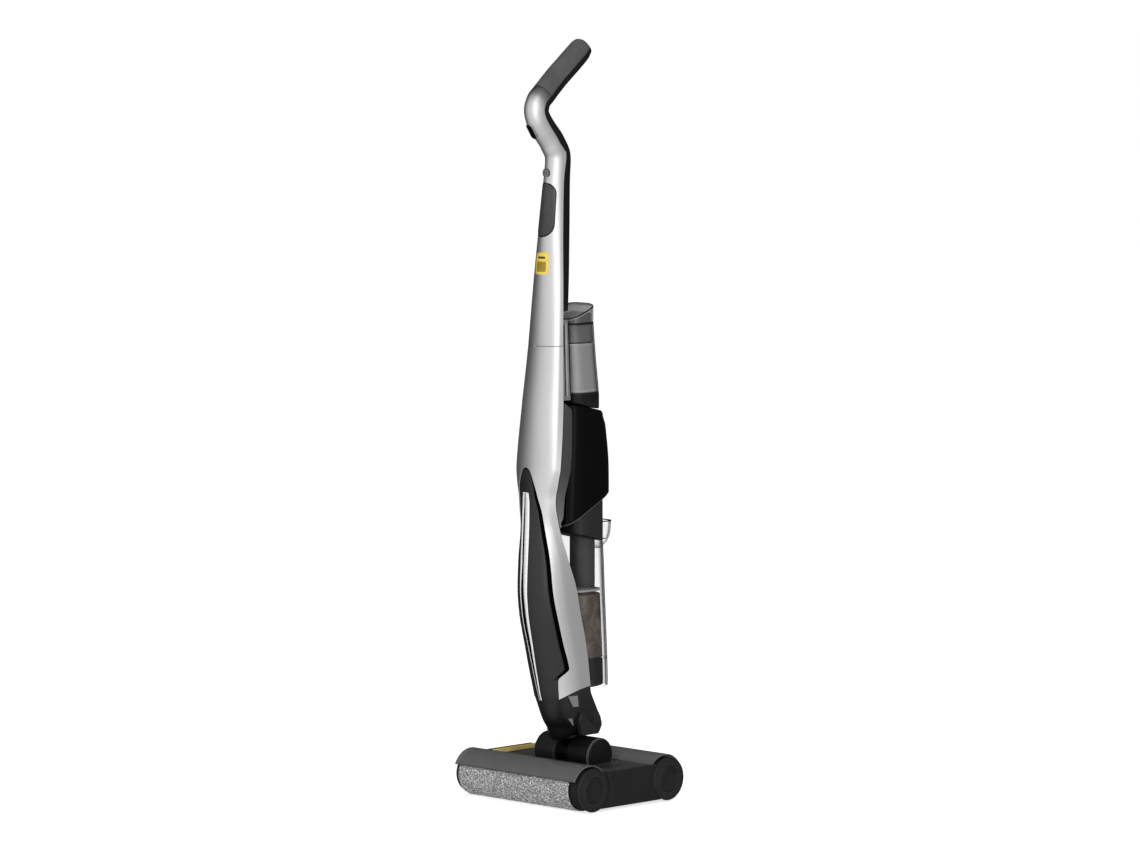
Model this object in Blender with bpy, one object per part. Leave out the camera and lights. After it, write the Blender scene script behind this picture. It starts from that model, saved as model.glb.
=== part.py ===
"""Cordless wet dry floor scrubber: a two-roller head, a swivel joint and an upright body with two tanks.

Frame: +Z up, the machine's front at -Y, its user behind it at +Y, its right side at -X.
The origin is on the floor under the middle of the head. Sizes below are in millimetres.
"""

import math

import bmesh
import bpy
import numpy as np

MM = 0.001
GAP = 0.4

# Head
HALF_WIDTH = 129.0
ROLLER_Y = 77.3
ROLLER_Z = 33.0
PILE_RADIUS = 33.0
PILE_BORE = 24.6
CORE_RADIUS = 24.0
CORE_BORE = 20.2
ROLLER_LEFT = -120.5
ROLLER_RIGHT = 106.6
MOTOR_RADIUS = 17.0
HOOD_INNER = 33.9
HOOD_OUTER = 35.7
HOOD_LIP_ANGLE = 155.0
HOOD_DECK_ANGLE = 41.0
END_CAP_RADIUS = 31.6
KNOB_RADIUS = 19.0
DECK_TOP = 56.0
SIDE_TOP = 62.0
FLOOR_PLATE = (10.0, 16.0)
WELL_HALF = 58.0

# Joint between head and upright
PIVOT_Y = 8.7
PIVOT_Z = 65.5
EAR_RADIUS = 27.0
EAR_INNER = 14.0
EAR_OUTER = 55.3
EAR_ROUND = 3.0
YOKE_HALF = 13.4
PIN_RADIUS = 5.0
PIN_HOLE = 5.5
STUB_RADIUS = 9.0
NECK_BOTTOM = 93.6

# Upright: height, rear edge, front centre, half-width and roundness of the silver shell and its way down
SHELL_STATIONS = (
    (667.0, -43.5, -69.5, 32.0, 1.15),
    (629.5, -46.0, -74.0, 34.5, 1.15),
    (576.0, -49.4, -81.0, 38.0, 1.15),
    (492.0, -58.9, -88.5, 42.0, 1.25),
    (470.0, -60.7, -90.0, 39.0, 1.35),
    (445.0, -61.0, -90.0, 34.0, 1.4),
    (410.0, -53.8, -91.5, 32.5, 1.4),
    (357.0, -39.4, -93.8, 38.0, 1.0),
    (317.0, -25.0, -95.0, 39.5, 0.78),
    (280.0, -16.7, -91.5, 40.0, 0.7),
    (229.0, -3.7, -80.0, 39.5, 0.68),
    (192.0, 2.8, -71.0, 38.8, 0.68),
    (165.0, 7.7, -64.0, 37.5, 0.68),
    (125.0, 18.0, -54.0, 36.0, 0.62),
    (94.0, 24.0, -38.0, 33.0, 0.6),
)
# Height and angle from the front centre at which the silver legs begin
LEG_STATIONS = (
    (492.0, 0.0),
    (490.5, 6.0),
    (487.0, 11.0),
    (470.0, 22.0),
    (452.0, 32.0),
    (424.0, 45.0),
    (388.0, 51.0),
    (356.0, 55.5),
    (310.0, 59.0),
    (271.0, 63.0),
    (232.0, 65.0),
    (197.0, 68.5),
    (180.0, 45.0),
    (152.0, 40.0),
)
# Joint line with the black back strip (y, z), tilt, depth, half-width, strip depth and half-width, roundness
HANDLE_STATIONS = (
    (-43.8, 667.3, 0.0, 25.7, 32.0, 16.0, 30.0, 1.15),
    (-39.0, 749.5, 0.0, 24.5, 27.5, 18.5, 27.0, 1.3),
    (-33.0, 833.0, 0.0, 23.0, 21.0, 20.5, 20.5, 1.3),
    (-25.0, 912.0, 0.0, 22.5, 15.5, 18.0, 15.1, 1.2),
    (-20.6, 940.1, -12.0, 25.0, 15.2, 14.0, 14.6, 1.0),
    (-29.6, 964.2, -35.0, 27.5, 15.5, 9.5, 14.2, 0.9),
    (-47.0, 987.1, -40.0, 29.0, 15.5, 7.0, 14.0, 0.9),
    (-55.2, 999.1, -20.0, 30.0, 15.5, 6.0, 13.8, 0.9),
    (-58.0, 1006.3, 8.0, 30.0, 15.5, 6.0, 13.6, 0.9),
    (-56.2, 1013.7, 33.0, 29.0, 15.5, 6.0, 13.4, 0.9),
    (-46.6, 1022.7, 46.0, 28.5, 15.5, 5.5, 13.2, 0.9),
    (-22.6, 1044.1, 49.0, 27.9, 15.5, 5.5, 13.0, 0.85),
    (5.2, 1065.8, 49.0, 27.9, 15.5, 5.5, 13.0, 0.85),
    (24.2, 1081.2, 49.0, 27.5, 15.2, 5.5, 12.6, 0.85),
    (31.6, 1088.2, 49.0, 25.0, 13.8, 4.8, 10.0, 0.85),
    (35.4, 1094.0, 49.0, 17.0, 9.0, 3.0, 5.5, 0.85),
)
SILVER_TOP_STATION = 10.0
STRIP_START_STATION = 0.6
CHEEK_REAR = ((402.0, -57.0), (420.0, -45.0), (436.0, -44.5), (520.0, -36.5), (573.0, -33.5), (586.0, -50.0))
SHELL_WALL = 2.2
BELLY_OFFSET = 3.0
ARC_STEPS = 12

# Boot, motor housing and tanks (each row: height, then rear edge or front, rear and half-width)
BOOT_STATIONS = ((100.0, 44.5), (112.0, 46.0), (130.0, 41.0), (144.0, 35.0), (157.0, 31.0))
HOUSING = (
    (440.0, -43.5, 55.5, 41.0),
    (490.0, -39.5, 54.0, 41.5),
    (540.0, -35.5, 48.5, 40.5),
    (580.0, -33.0, 42.0, 39.0),
)
CLEAN_TANK = ((597.0, -27.0, 36.0, 38.0), (650.0, -27.0, 31.5, 35.0), (698.0, -26.6, 28.5, 32.5))
CLEAN_BASE_FRONT = 583.6
HOUSING_TOP = 576.0
HOUSING_TOP_SLOPE = -0.213
HOUSING_UNDER = 425.0
HOUSING_UNDER_SLOPE = 0.52
LID_FRONT = 703.0
LID_SLOPE = 0.385
TANK_WALL = 1.8
DIRTY_TANK = (
    (400.0, -22.0, 43.0, 38.3),
    (350.0, -22.0, 46.0, 38.0),
    (306.0, -21.0, 48.5, 37.6),
    (276.0, -13.8, 50.0, 37.3),
    (240.0, -5.0, 51.5, 37.0),
    (205.0, 2.0, 53.0, 36.5),
    (158.0, 11.0, 55.0, 35.0),
)
DIRTY_RIM = 381.0
DIRTY_RIM_SLOPE = 0.25
DIRTY_BASE_TOP = 205.0
DIRTY_BASE_BOTTOM = 160.0
DIRTY_BASE_SLOPE = 0.1
SEPARATOR_RADIUS = 15.0
SEPARATOR_Y = 24.0


# ---------------------------------------------------------------- helpers


def clear_scene():
    for obj in list(bpy.data.objects):
        bpy.data.objects.remove(obj, do_unlink=True)


def material(name, color, roughness, metallic=0.0, alpha=1.0):
    made = bpy.data.materials.get(name)
    if made is None:
        made = bpy.data.materials.new(name)
        made.use_nodes = True
        shader = made.node_tree.nodes["Principled BSDF"]
        shader.inputs["Base Color"].default_value = (*color, 1.0)
        shader.inputs["Roughness"].default_value = roughness
        shader.inputs["Metallic"].default_value = metallic
        shader.inputs["Alpha"].default_value = alpha
        made.diffuse_color = (*color, alpha)
    return made


def steel():
    return material("silver_metal", (0.55, 0.56, 0.58), 0.32, 0.9)


def black():
    return material("black_plastic", (0.02, 0.02, 0.022), 0.35)


def charcoal():
    return material("charcoal_plastic", (0.05, 0.05, 0.055), 0.5)


def grey():
    return material("grey_plastic", (0.22, 0.22, 0.23), 0.45)


def clear_plastic():
    return material("smoked_clear", (0.3, 0.31, 0.33), 0.12, 0.0, 0.4)


def rubber():
    return material("dark_rubber", (0.09, 0.09, 0.095), 0.65)


def bright():
    return material("bright_metal", (0.8, 0.8, 0.82), 0.12, 1.0)


def pile():
    return material("heather_pile", (0.33, 0.33, 0.34), 0.95)


def yellow():
    return material("yellow_plastic", (0.8, 0.55, 0.05), 0.4)


def green():
    return material("circuit_green", (0.02, 0.18, 0.07), 0.5)


def add_object(name, mesh, made, origin=(0.0, 0.0, 0.0)):
    """Makes an object of a bmesh in millimetres, with its own origin."""
    bmesh.ops.remove_doubles(mesh, verts=mesh.verts, dist=0.0005)
    bmesh.ops.recalc_face_normals(mesh, faces=mesh.faces)
    for vert in mesh.verts:
        vert.co = [(c - o) * MM for c, o in zip(vert.co, origin)]
    data = bpy.data.meshes.new(name)
    mesh.to_mesh(data)
    mesh.free()
    data.materials.append(made)
    data.shade_smooth()
    data.set_sharp_from_angle(angle=math.radians(35))
    obj = bpy.data.objects.new(name, data)
    obj.location = [o * MM for o in origin]
    bpy.context.scene.collection.objects.link(obj)
    return obj


def boolean(obj, other, operation):
    """Cuts the other object from this one, or joins it on, and hides the other."""
    other.hide_render = True
    other.display_type = "WIRE"
    modifier = obj.modifiers.new(f"{operation.lower()}_{other.name}", "BOOLEAN")
    modifier.operation = operation
    modifier.object = other
    return obj


def loft(rings, closed=False, mesh=None):
    """A skin over rings of equal length. It is capped at both ends, or closed like a torus."""
    mesh = mesh or bmesh.new()
    rows = [[mesh.verts.new(point) for point in ring] for ring in rings]
    pairs = list(zip(rows, rows[1:]))
    if closed:
        pairs.append((rows[-1], rows[0]))
    for low, high in pairs:
        for i in range(len(low)):
            j = (i + 1) % len(low)
            mesh.faces.new((low[i], low[j], high[j], high[i]))
    if not closed:
        mesh.faces.new(rows[0])
        mesh.faces.new(rows[-1])
    return mesh


def sheet(outer, inner, open_start=False, mesh=None):
    """A wall between two grids of points. open_start leaves out the strip along the first row."""
    mesh = mesh or bmesh.new()
    out = [[mesh.verts.new(point) for point in row] for row in outer]
    within = [[mesh.verts.new(point) for point in row] for row in inner]
    for grid in (out, within):
        for low, high in zip(grid, grid[1:]):
            for i in range(len(low) - 1):
                mesh.faces.new((low[i], low[i + 1], high[i + 1], high[i]))
    for level in range(len(out) - 1):
        for side in (0, -1):
            edge = (out[level][side], out[level + 1][side])
            back = (within[level + 1][side], within[level][side])
            mesh.faces.new((*edge, *back))
    for level in (0, -1):
        if level == 0 and open_start:
            continue
        for i in range(len(out[0]) - 1):
            edge = (out[level][i], out[level][i + 1])
            back = (within[level][i + 1], within[level][i])
            mesh.faces.new((*edge, *back))
    return mesh


def box_mesh(low, high, mesh=None):
    corners = [(low[0], low[1]), (high[0], low[1]), (high[0], high[1]), (low[0], high[1])]
    rings = [[(x, y, z) for x, y in corners] for z in (low[2], high[2])]
    return loft(rings, mesh=mesh)


def box(name, low, high, made, bevel=0.0):
    obj = add_object(name, box_mesh(low, high), made)
    if bevel:
        modifier = obj.modifiers.new("edges", "BEVEL")
        modifier.width = bevel * MM
        modifier.segments = 2
    return obj


def circle(axis, place, centre, radius, count=32):
    """A ring of points about an axis. centre holds the other two coordinates, in X, Y, Z order."""
    points = []
    for i in range(count):
        angle = 2 * math.pi * i / count
        first = centre[0] + radius * math.cos(angle)
        second = centre[1] + radius * math.sin(angle)
        points.append({"X": (place, first, second), "Z": (first, second, place)}[axis])
    return points


def turned(axis, centre, stations, count=24, closed=False, mesh=None):
    """A turned shape through (place, radius) stations along an axis."""
    rings = [circle(axis, place, centre, radius, count) for place, radius in stations]
    return loft(rings, closed, mesh)


def rounded_ring(z, rear, front, half, count=32, power=0.45, slope=0.0):
    """A rounded rectangle in plan. slope raises it towards the rear."""
    middle = (front + rear) / 2
    reach = (rear - front) / 2
    points = []
    for i in range(count):
        angle = 2 * math.pi * (i + 0.5) / count
        c, s = math.cos(angle), math.sin(angle)
        x = half * math.copysign(abs(c) ** power, c)
        y = middle + reach * math.copysign(abs(s) ** power, s)
        points.append((x, y, z + slope * (y - front)))
    return points


def smooth(table, at):
    """Reads a table of rows, by its first column, through a smooth curve that doesn't overshoot."""
    rows = np.array(sorted(table))
    x, y = rows[:, 0], rows[:, 1:]
    step = np.diff(x)[:, None]
    slope = np.diff(y, axis=0) / step
    tangent = np.zeros_like(y)
    tangent[0], tangent[-1] = slope[0], slope[-1]
    same = slope[:-1] * slope[1:] > 0
    mean = 2 * slope[:-1] * slope[1:] / np.where(same, slope[:-1] + slope[1:], 1)
    tangent[1:-1] = np.where(same, mean, 0)
    i = int(np.clip(np.searchsorted(x, at) - 1, 0, len(x) - 2))
    h = x[i + 1] - x[i]
    t = (at - x[i]) / h
    value = (2 * t**3 - 3 * t**2 + 1) * y[i] + (t**3 - 2 * t**2 + t) * h * tangent[i]
    value += (-2 * t**3 + 3 * t**2) * y[i + 1] + (t**3 - t**2) * h * tangent[i + 1]
    return value


def shell_point(z, angle, offset=0.0):
    """A point of the upright's front surface, moved in by offset. angle is 0 at the front centre."""
    edge, front, half, power = smooth(SHELL_STATIONS, z)
    turn = math.radians(angle)
    depth = (front + offset - edge) * max(math.cos(turn), 0.0) ** power
    return ((half - offset) * math.sin(turn), edge + depth, z)


def shell_row(z, start, end, offset, steps=ARC_STEPS):
    return [shell_point(z, angle, offset) for angle in np.linspace(start, end, steps + 1)]


def handle_frame(at):
    """One station of the handle, with its tilt turned into the forward direction."""
    rows = [(i, *row) for i, row in enumerate(HANDLE_STATIONS)]
    y, z, tilt, depth, half, strip, strip_half, power = smooth(rows, at)
    turn = math.radians(tilt)
    return y, z, (-math.cos(turn), math.sin(turn)), depth, half, strip, strip_half, power


def front_arc(at, offset=0.0, steps=ARC_STEPS):
    """The front half of the handle's section, from one side to the other."""
    y, z, forward, depth, half, _, _, power = handle_frame(at)
    points = []
    for turn in np.linspace(-math.pi / 2, math.pi / 2, steps + 1):
        reach = (depth - offset) * max(math.cos(turn), 0.0) ** power
        x = (half - offset) * math.sin(turn)
        points.append((x, y + forward[0] * reach, z + forward[1] * reach))
    return points


def back_arc(at, steps=8):
    """The black strip's section behind the joint line, as a closed ring."""
    y, z, forward, _, _, strip, half, _ = handle_frame(at)
    points = []
    for turn in np.linspace(-math.pi / 2, math.pi / 2, steps + 1):
        reach = -GAP - (strip - GAP) * max(math.cos(turn), 0.0) ** 0.35
        points.append((half * math.sin(turn), y + forward[0] * reach, z + forward[1] * reach))
    return points


# ---------------------------------------------------------------- head


def make_chassis():
    """Floor plate of the head with its two end walls."""
    mesh = box_mesh((-118.0, -41.0, FLOOR_PLATE[0]), (118.0, 41.0, FLOOR_PLATE[1]))
    chassis = add_object("head_chassis", mesh, black())
    for name, low, high in (("left", -118.0, -112.0), ("right", 112.0, 118.0)):
        wall = box(f"cut_chassis_{name}", (low, -38.0, 13.0), (high, 38.0, DECK_TOP - 6.6), black())
        boolean(chassis, wall, "UNION")
    slot = box("cut_chassis_slot", (-60.0, -5.0, 0.0), (60.0, 5.0, 20.0), black())
    boolean(chassis, slot, "DIFFERENCE")


def make_deck():
    """Top cover between the hoods, open at the rear around the joint."""
    low = (-117.0, -46.4, DECK_TOP - 5.0)
    deck = box("head_deck", low, (119.5, 49.4, DECK_TOP), charcoal())
    well = box("cut_deck_well", (-WELL_HALF, -22.0, 40.0), (WELL_HALF, 60.0, 70.0), charcoal())
    boolean(deck, well, "DIFFERENCE")


def hood_row(x, radius, tail, side):
    """One section of a hood: an arc over the roller and a short flat tail towards the deck."""
    points = []
    for angle in np.linspace(HOOD_LIP_ANGLE, HOOD_DECK_ANGLE, 15):
        turn = math.radians(angle)
        y = -ROLLER_Y + radius * math.cos(turn)
        points.append((x, side * y, ROLLER_Z + radius * math.sin(turn)))
    points.append((x, side * tail, points[-1][2]))
    return points


def make_hoods():
    """Half-clear covers over the two rollers."""
    for name, side, tail in (("front_hood", 1, -47.0), ("rear_hood", -1, -50.0)):
        places = (-127.0, 0.0, 120.5)
        outer = [hood_row(x, HOOD_OUTER, tail, side) for x in places]
        inner = [hood_row(x, HOOD_INNER, tail, side) for x in places]
        add_object(name, sheet(outer, inner), clear_plastic())


def side_outline(radius, top):
    """An outline in Y and Z with round ends at the roller axes and a raised block between the hoods."""
    points = []
    for centre, start in ((ROLLER_Y, -90), (-ROLLER_Y, 40)):
        for i in range(13):
            turn = math.radians(start + 230 * i / 12)
            points.append((centre + radius * math.cos(turn), ROLLER_Z + radius * math.sin(turn)))
        if centre > 0:
            points += [(49.0, 50.0), (49.0, top - 1.5), (47.5, top)]
            points += [(-45.0, top), (-46.4, top - 1.5), (-46.4, 50.0)]
    return points


def make_sides():
    """Left side cover over both roller ends, and the panel between the two end caps on the right."""
    rings = []
    for x, radius in ((-HALF_WIDTH, 27.0), (-HALF_WIDTH + 2.0, 29.0), (-122.2, 29.0)):
        rings.append([(x, y, z) for y, z in side_outline(radius, SIDE_TOP)])
    add_object("side_cover_left", loft(rings), charcoal())
    panel = box("side_panel_right", (121.0, -56.0, 6.0), (128.0, 56.0, 57.0), charcoal())
    for name, y in (("front", -ROLLER_Y), ("rear", ROLLER_Y)):
        mesh = turned("X", (y, ROLLER_Z), ((100.0, END_CAP_RADIUS + 0.5), (140.0, END_CAP_RADIUS + 0.5)), 36)
        boolean(panel, add_object(f"cut_panel_{name}", mesh, charcoal()), "DIFFERENCE")


def make_head_trim():
    """Yellow release strip, the scrapers, the spray bar and the suction mouth."""
    box("latch_strip", (-117.0, -28.0, DECK_TOP + GAP), (-113.0, 48.0, 63.0), yellow(), 1.0)
    for name, side in (("front_scraper", -1), ("rear_scraper", 1)):
        near, far = sorted((side * 43.0, side * 47.4))
        box(name, (-110.0, near, 47.0), (104.0, far, 50.4), rubber())
    mesh = turned("X", (-36.0, 44.0), ((-108.0, 3.0), (108.0, 3.0)), 12)
    add_object("spray_bar", mesh, grey())
    mouth = box("suction_mouth", (-72.0, -22.0, 3.0), (72.0, 22.0, 9.6), rubber())
    slot = box("cut_mouth_slot", (-60.0, -5.0, 0.0), (60.0, 5.0, 20.0), rubber())
    boolean(mouth, slot, "DIFFERENCE")


def make_roller(name, y):
    """A pile sleeve on its core, driven by the motor inside it through a hub at the right end."""
    centre = (y, ROLLER_Z)
    origin = (0.0, y, ROLLER_Z)
    ends = (ROLLER_LEFT, ROLLER_RIGHT)
    sleeve = [(ends[0], PILE_BORE), (ends[0], 31.5), (ends[0] + 2, PILE_RADIUS)]
    sleeve += [(ends[1] - 2, PILE_RADIUS), (ends[1], 31.5), (ends[1], PILE_BORE)]
    add_object(f"{name}_roller_pile", turned("X", centre, sleeve, 36, True), pile(), origin)
    core = [(ends[0] - 1, CORE_BORE), (ends[0] - 1, CORE_RADIUS)]
    core += [(ends[1] + 2, CORE_RADIUS), (ends[1] + 2, CORE_BORE)]
    add_object(f"{name}_roller_core", turned("X", centre, core, 24, True), grey(), origin)
    hub = [(68.0, 19.6), (74.0, 19.6), (74.0, 8.0), (104.0, 8.0), (106.0, 6.0), (116.0, 6.0)]
    add_object(f"{name}_drive_hub", turned("X", centre, hub), black(), origin)
    motor = [(-121.8, 12.0), (-118.5, 12.0), (-118.5, MOTOR_RADIUS), (48.0, MOTOR_RADIUS)]
    motor += [(50.0, 15.0), (50.0, 4.0), (66.0, 4.0)]
    add_object(f"{name}_roller_motor", turned("X", centre, motor), steel())


def make_end_cap(name, y):
    """The removable cap that carries a roller's right end, and the lock knob in it."""
    centre = (y, ROLLER_Z)
    outer, recess = HALF_WIDTH - 0.6, HALF_WIDTH - 4.4
    cap = [(109.4, 6.6), (109.4, 30.0), (outer - 3.0, 30.0), (outer - 3.0, END_CAP_RADIUS)]
    cap += [(outer - 1.2, END_CAP_RADIUS), (outer, END_CAP_RADIUS - 1.4)]
    cap += [(outer, KNOB_RADIUS + 0.5), (recess, KNOB_RADIUS + 0.5)]
    cap += [(recess, 4.0), (117.0, 4.0), (117.0, 6.6)]
    add_object(f"{name}_end_cap", turned("X", centre, cap, 28, True), black())
    knob = [(119.0, 3.4), (recess + 0.4, 3.4), (recess + 0.4, KNOB_RADIUS)]
    knob += [(HALF_WIDTH - 0.8, KNOB_RADIUS), (HALF_WIDTH, 18.0)]
    disc = add_object(f"{name}_knob", turned("X", centre, knob, 28), charcoal(), (0.0, y, ROLLER_Z))
    low = (HALF_WIDTH - 1.2, y - 14.0, ROLLER_Z - 2.0)
    slot = box(f"cut_{name}_knob", low, (140.0, y + 14.0, ROLLER_Z + 2.0), charcoal())
    boolean(disc, slot, "DIFFERENCE")


def make_ears():
    """The two domed bearings of the tilt joint, standing on the floor plate."""
    for name, side in (("left", -1), ("right", 1)):
        stations = [(EAR_INNER, PIN_HOLE), (EAR_INNER, EAR_RADIUS - 2), (EAR_INNER + 2, EAR_RADIUS)]
        for angle in range(0, 91, 18):
            turn = math.radians(angle)
            radius = EAR_RADIUS - EAR_ROUND * (1 - math.cos(turn))
            stations.append((EAR_OUTER - EAR_ROUND * (1 - math.sin(turn)), radius))
        stations += [(EAR_OUTER, 0.5), (42.0, 0.5), (42.0, PIN_HOLE)]
        placed = [(side * place, radius) for place, radius in stations]
        mesh = turned("X", (PIVOT_Y, PIVOT_Z), placed, 28, True)
        ear = add_object(f"joint_ear_{name}", mesh, black())
        ends = sorted((side * 20.0, side * 44.0))
        foot = box(f"cut_ear_{name}", (ends[0], -10.0, 16.5), (ends[1], 26.0, 55.0), black())
        boolean(ear, foot, "UNION")


# ---------------------------------------------------------------- joint


def make_yoke():
    """The block that tilts between the ears, its swivel stub and its pin."""
    origin = (0.0, PIVOT_Y, PIVOT_Z)
    stations = [(-YOKE_HALF, PIN_HOLE), (-YOKE_HALF, 23.0), (-YOKE_HALF + 3, 25.0)]
    stations += [(YOKE_HALF - 3, 25.0), (YOKE_HALF, 23.0), (YOKE_HALF, PIN_HOLE)]
    yoke = add_object("swivel_yoke", turned("X", (PIVOT_Y, PIVOT_Z), stations, 28, True), black(), origin)
    stub = [(76.0, 12.0), (NECK_BOTTOM - 0.6, 12.0), (NECK_BOTTOM - 0.6, STUB_RADIUS), (112.0, STUB_RADIUS)]
    mesh = turned("Z", (0.0, PIVOT_Y), stub, 24)
    boolean(yoke, add_object("cut_yoke_stub", mesh, black()), "UNION")
    pin = turned("X", (PIVOT_Y, PIVOT_Z), ((-41.0, PIN_RADIUS), (41.0, PIN_RADIUS)), 24)
    add_object("hinge_pin", pin, bright(), origin)


# ---------------------------------------------------------------- upright


def make_neck():
    """Neck shell over the joint, open at the rear where the duct boot lies."""
    heights = (NECK_BOTTOM, 104.0, 115.0, 128.0, 140.0, 154.6)
    rings = [shell_row(z, -90, 90, BELLY_OFFSET, 16) for z in heights]
    neck = add_object("neck_shell", loft(rings), black())
    cavity = [shell_row(z, -90, 90, BELLY_OFFSET + 3, 16) for z in (100.0, 115.0, 128.0, 140.0, 154.6)]
    cavity.append([(x, y, 165.0) for x, y, _ in cavity[-1]])
    for ring in cavity:
        reach = ring[0][1] + 8.0
        ring.insert(0, (ring[0][0], reach, ring[0][2]))
        ring.append((ring[-1][0], reach, ring[-1][2]))
    boolean(neck, add_object("cut_neck_cavity", loft(cavity), black()), "DIFFERENCE")
    hole = turned("Z", (0.0, PIVOT_Y), ((90.0, STUB_RADIUS + 0.5), (110.0, STUB_RADIUS + 0.5)), 24)
    boolean(neck, add_object("cut_neck_hole", hole, black()), "DIFFERENCE")


def make_duct_boot():
    """The ribbed dirty-water duct behind the neck."""
    rings = []
    for i in range(15):
        swell = 1.2 if i % 2 else 0.0
        z = 103.0 + (156.0 - 103.0) * i / 14
        rear = float(smooth(BOOT_STATIONS, z)[0])
        rings.append(rounded_ring(z, rear + swell - 1.2, 2.0, 27.0 + swell, 24))
    duct = add_object("duct_boot", loft(rings), charcoal())
    shelf = [shell_row(z, -90, 90, 0.0, 16) for z in (95.0, 110.0, 125.0, 140.0, 155.0, 172.0)]
    walls = [[(x * 1.2, y + 0.6, z) for x, y, z in ring] for ring in shelf]
    boolean(duct, add_object("cut_duct_neck", loft(walls), charcoal()), "DIFFERENCE")


def leg_row(z, start, end, offset, sink):
    """A row of a leg. sink lifts it towards the rear, as at the foot."""
    points = []
    for i, angle in enumerate(np.linspace(start, end, ARC_STEPS // 2 + 1)):
        share = i / (ARC_STEPS // 2)
        share = share if abs(end) > abs(start) else 1 - share
        points.append(shell_point(z + sink * share, angle, offset))
    return points


def make_body_shell():
    """The silver front shell, which parts below its middle into two legs around the belly."""
    upper = (492.0, 518.0, 544.0, 570.0, 600.0, 634.0, 666.8)
    outer = [shell_row(z, -90, 90, 0.0) for z in upper]
    inner = [shell_row(z, -90, 90, SHELL_WALL) for z in upper]
    mesh = sheet(outer, inner, open_start=True)
    lower = (492.0, 490.5, 487.0, 474.0, 460.0, 448.0, 436.0, 421.0, 405.0, 381.0, 356.0, 328.0, 299.0)
    lower += (276.0, 256.0, 237.0, 219.0, 196.0, 190.0, 184.0, 178.0, 164.0, 151.0)
    for side in (-1, 1):
        grids = []
        for offset in (0.0, SHELL_WALL):
            rows = []
            for z in lower:
                start = float(smooth(LEG_STATIONS, z)[0]) * side
                sink = 17.0 * np.clip((196.0 - z) / 45.0, 0.0, 1.0)
                ends = (start, 90.0 * side) if side > 0 else (-90.0, start)
                rows.append(leg_row(z, *ends, offset, sink))
            grids.append(rows)
        sheet(*grids, open_start=True, mesh=mesh)
    add_object("body_shell", mesh, steel())


def make_belly():
    """The dark front shell between the legs and the bright strip on it."""
    heights = (155.4, 164.0, 178.0, 184.0, 190.0, 196.0, 219.0, 237.0, 256.0, 276.0, 299.0, 328.0, 356.0)
    heights += (381.0, 405.0, 421.0, 436.0, 448.0, 460.0, 474.0, 487.0)
    outer = [shell_row(z, -90, 90, BELLY_OFFSET) for z in heights]
    inner = [shell_row(z, -90, 90, BELLY_OFFSET + 2.0) for z in heights]
    add_object("belly_shell", sheet(outer, inner), charcoal())
    rows = [(z, 4.2 + 2.8 * (455.0 - z) / 300.0) for z in np.linspace(455.0, 157.0, 14)]
    grids = []
    for lift in (1.6, 0.4):
        grid = []
        for z, half in rows:
            front = smooth(SHELL_STATIONS, z)[1]
            grid.append([(x, front + BELLY_OFFSET - lift + 0.02 * abs(x), z) for x in (-half, 0.0, half)])
        grids.append(grid)
    add_object("belly_strip", sheet(*grids), bright())


def make_internals():
    """Battery, board, pump and what the body holds."""
    box("battery_pack", (-21.0, -70.0, 282.0), (21.0, -44.0, 360.0), grey(), 2.0)
    box("control_board", (-20.0, -70.0, 412.0), (20.0, -68.4, 476.0), green())
    mesh = turned("Z", (0.0, -52.0), ((205.0, 9.0), (205.1, 11.0), (240.0, 11.0), (240.0, 4.0), (250.0, 4.0)), 20)
    add_object("water_pump", mesh, black())


def make_handle():
    """Silver upper shell, rubber grip and the black strip that runs behind both."""
    places = np.linspace(0.0, SILVER_TOP_STATION, 22)
    outer = [front_arc(at) for at in places]
    inner = [front_arc(at, SHELL_WALL) for at in places]
    add_object("handle_shell", sheet(outer, inner), steel())
    places = [SILVER_TOP_STATION + 0.03, 10.5, 11.0, 11.5, 12.0, 12.5, 13.0, 13.5, 14.0, 14.5, 15.0]
    add_object("grip", loft([front_arc(at) for at in places]), rubber())
    places = np.concatenate([np.linspace(STRIP_START_STATION, 10.0, 21), np.linspace(10.4, 15.0, 9)])
    add_object("back_strip", loft([back_arc(at) for at in places]), black())


def make_dock():
    """The column between the silver shell and the clean tank, below the strip."""
    rings = []
    for row in ((588.0, -45.5, 34.0), (630.0, -43.0, 31.0), (668.0, -40.5, 28.5), (704.0, -38.0, 26.5)):
        z, front, half = row
        rings.append(rounded_ring(z, -27.6, front, half, 28, 0.3))
    add_object("dock_column", loft(rings), grey())


def make_display():
    """Dark display lens on the stem's front."""
    places = np.linspace(2.1, 2.86, 9)
    grids = []
    for lift in (1.3, GAP):
        grid = []
        for at in places:
            y, z, forward, depth, *_ = handle_frame(at)
            share = (at - 2.48) / 0.38
            half = 0.4 + 6.4 * max(1 - share**4, 0.0) ** 0.5
            front = y + forward[0] * (depth + lift)
            grid.append([(x, front + 0.006 * x * x, z) for x in (-half, 0.0, half)])
        grids.append(grid)
    add_object("display_lens", sheet(*grids), black())


def tilted_plug(centre, normal, radius, low, high, stretch=1.0, count=20):
    """A round or oval plug along normal, which lies in the YZ plane, with a chamfered top."""
    along = (normal[1], -normal[0])
    rings = []
    for out, size in ((low, 1.0), (high - 0.5, 1.0), (high, 0.88)):
        ring = []
        for i in range(count):
            turn = 2 * math.pi * i / count
            up = radius * stretch * size * math.sin(turn)
            y = centre[0] + along[0] * up + normal[0] * out
            z = centre[1] + along[1] * up + normal[1] * out
            ring.append((radius * size * math.cos(turn), y, z))
        rings.append(ring)
    return loft(rings)


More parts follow.
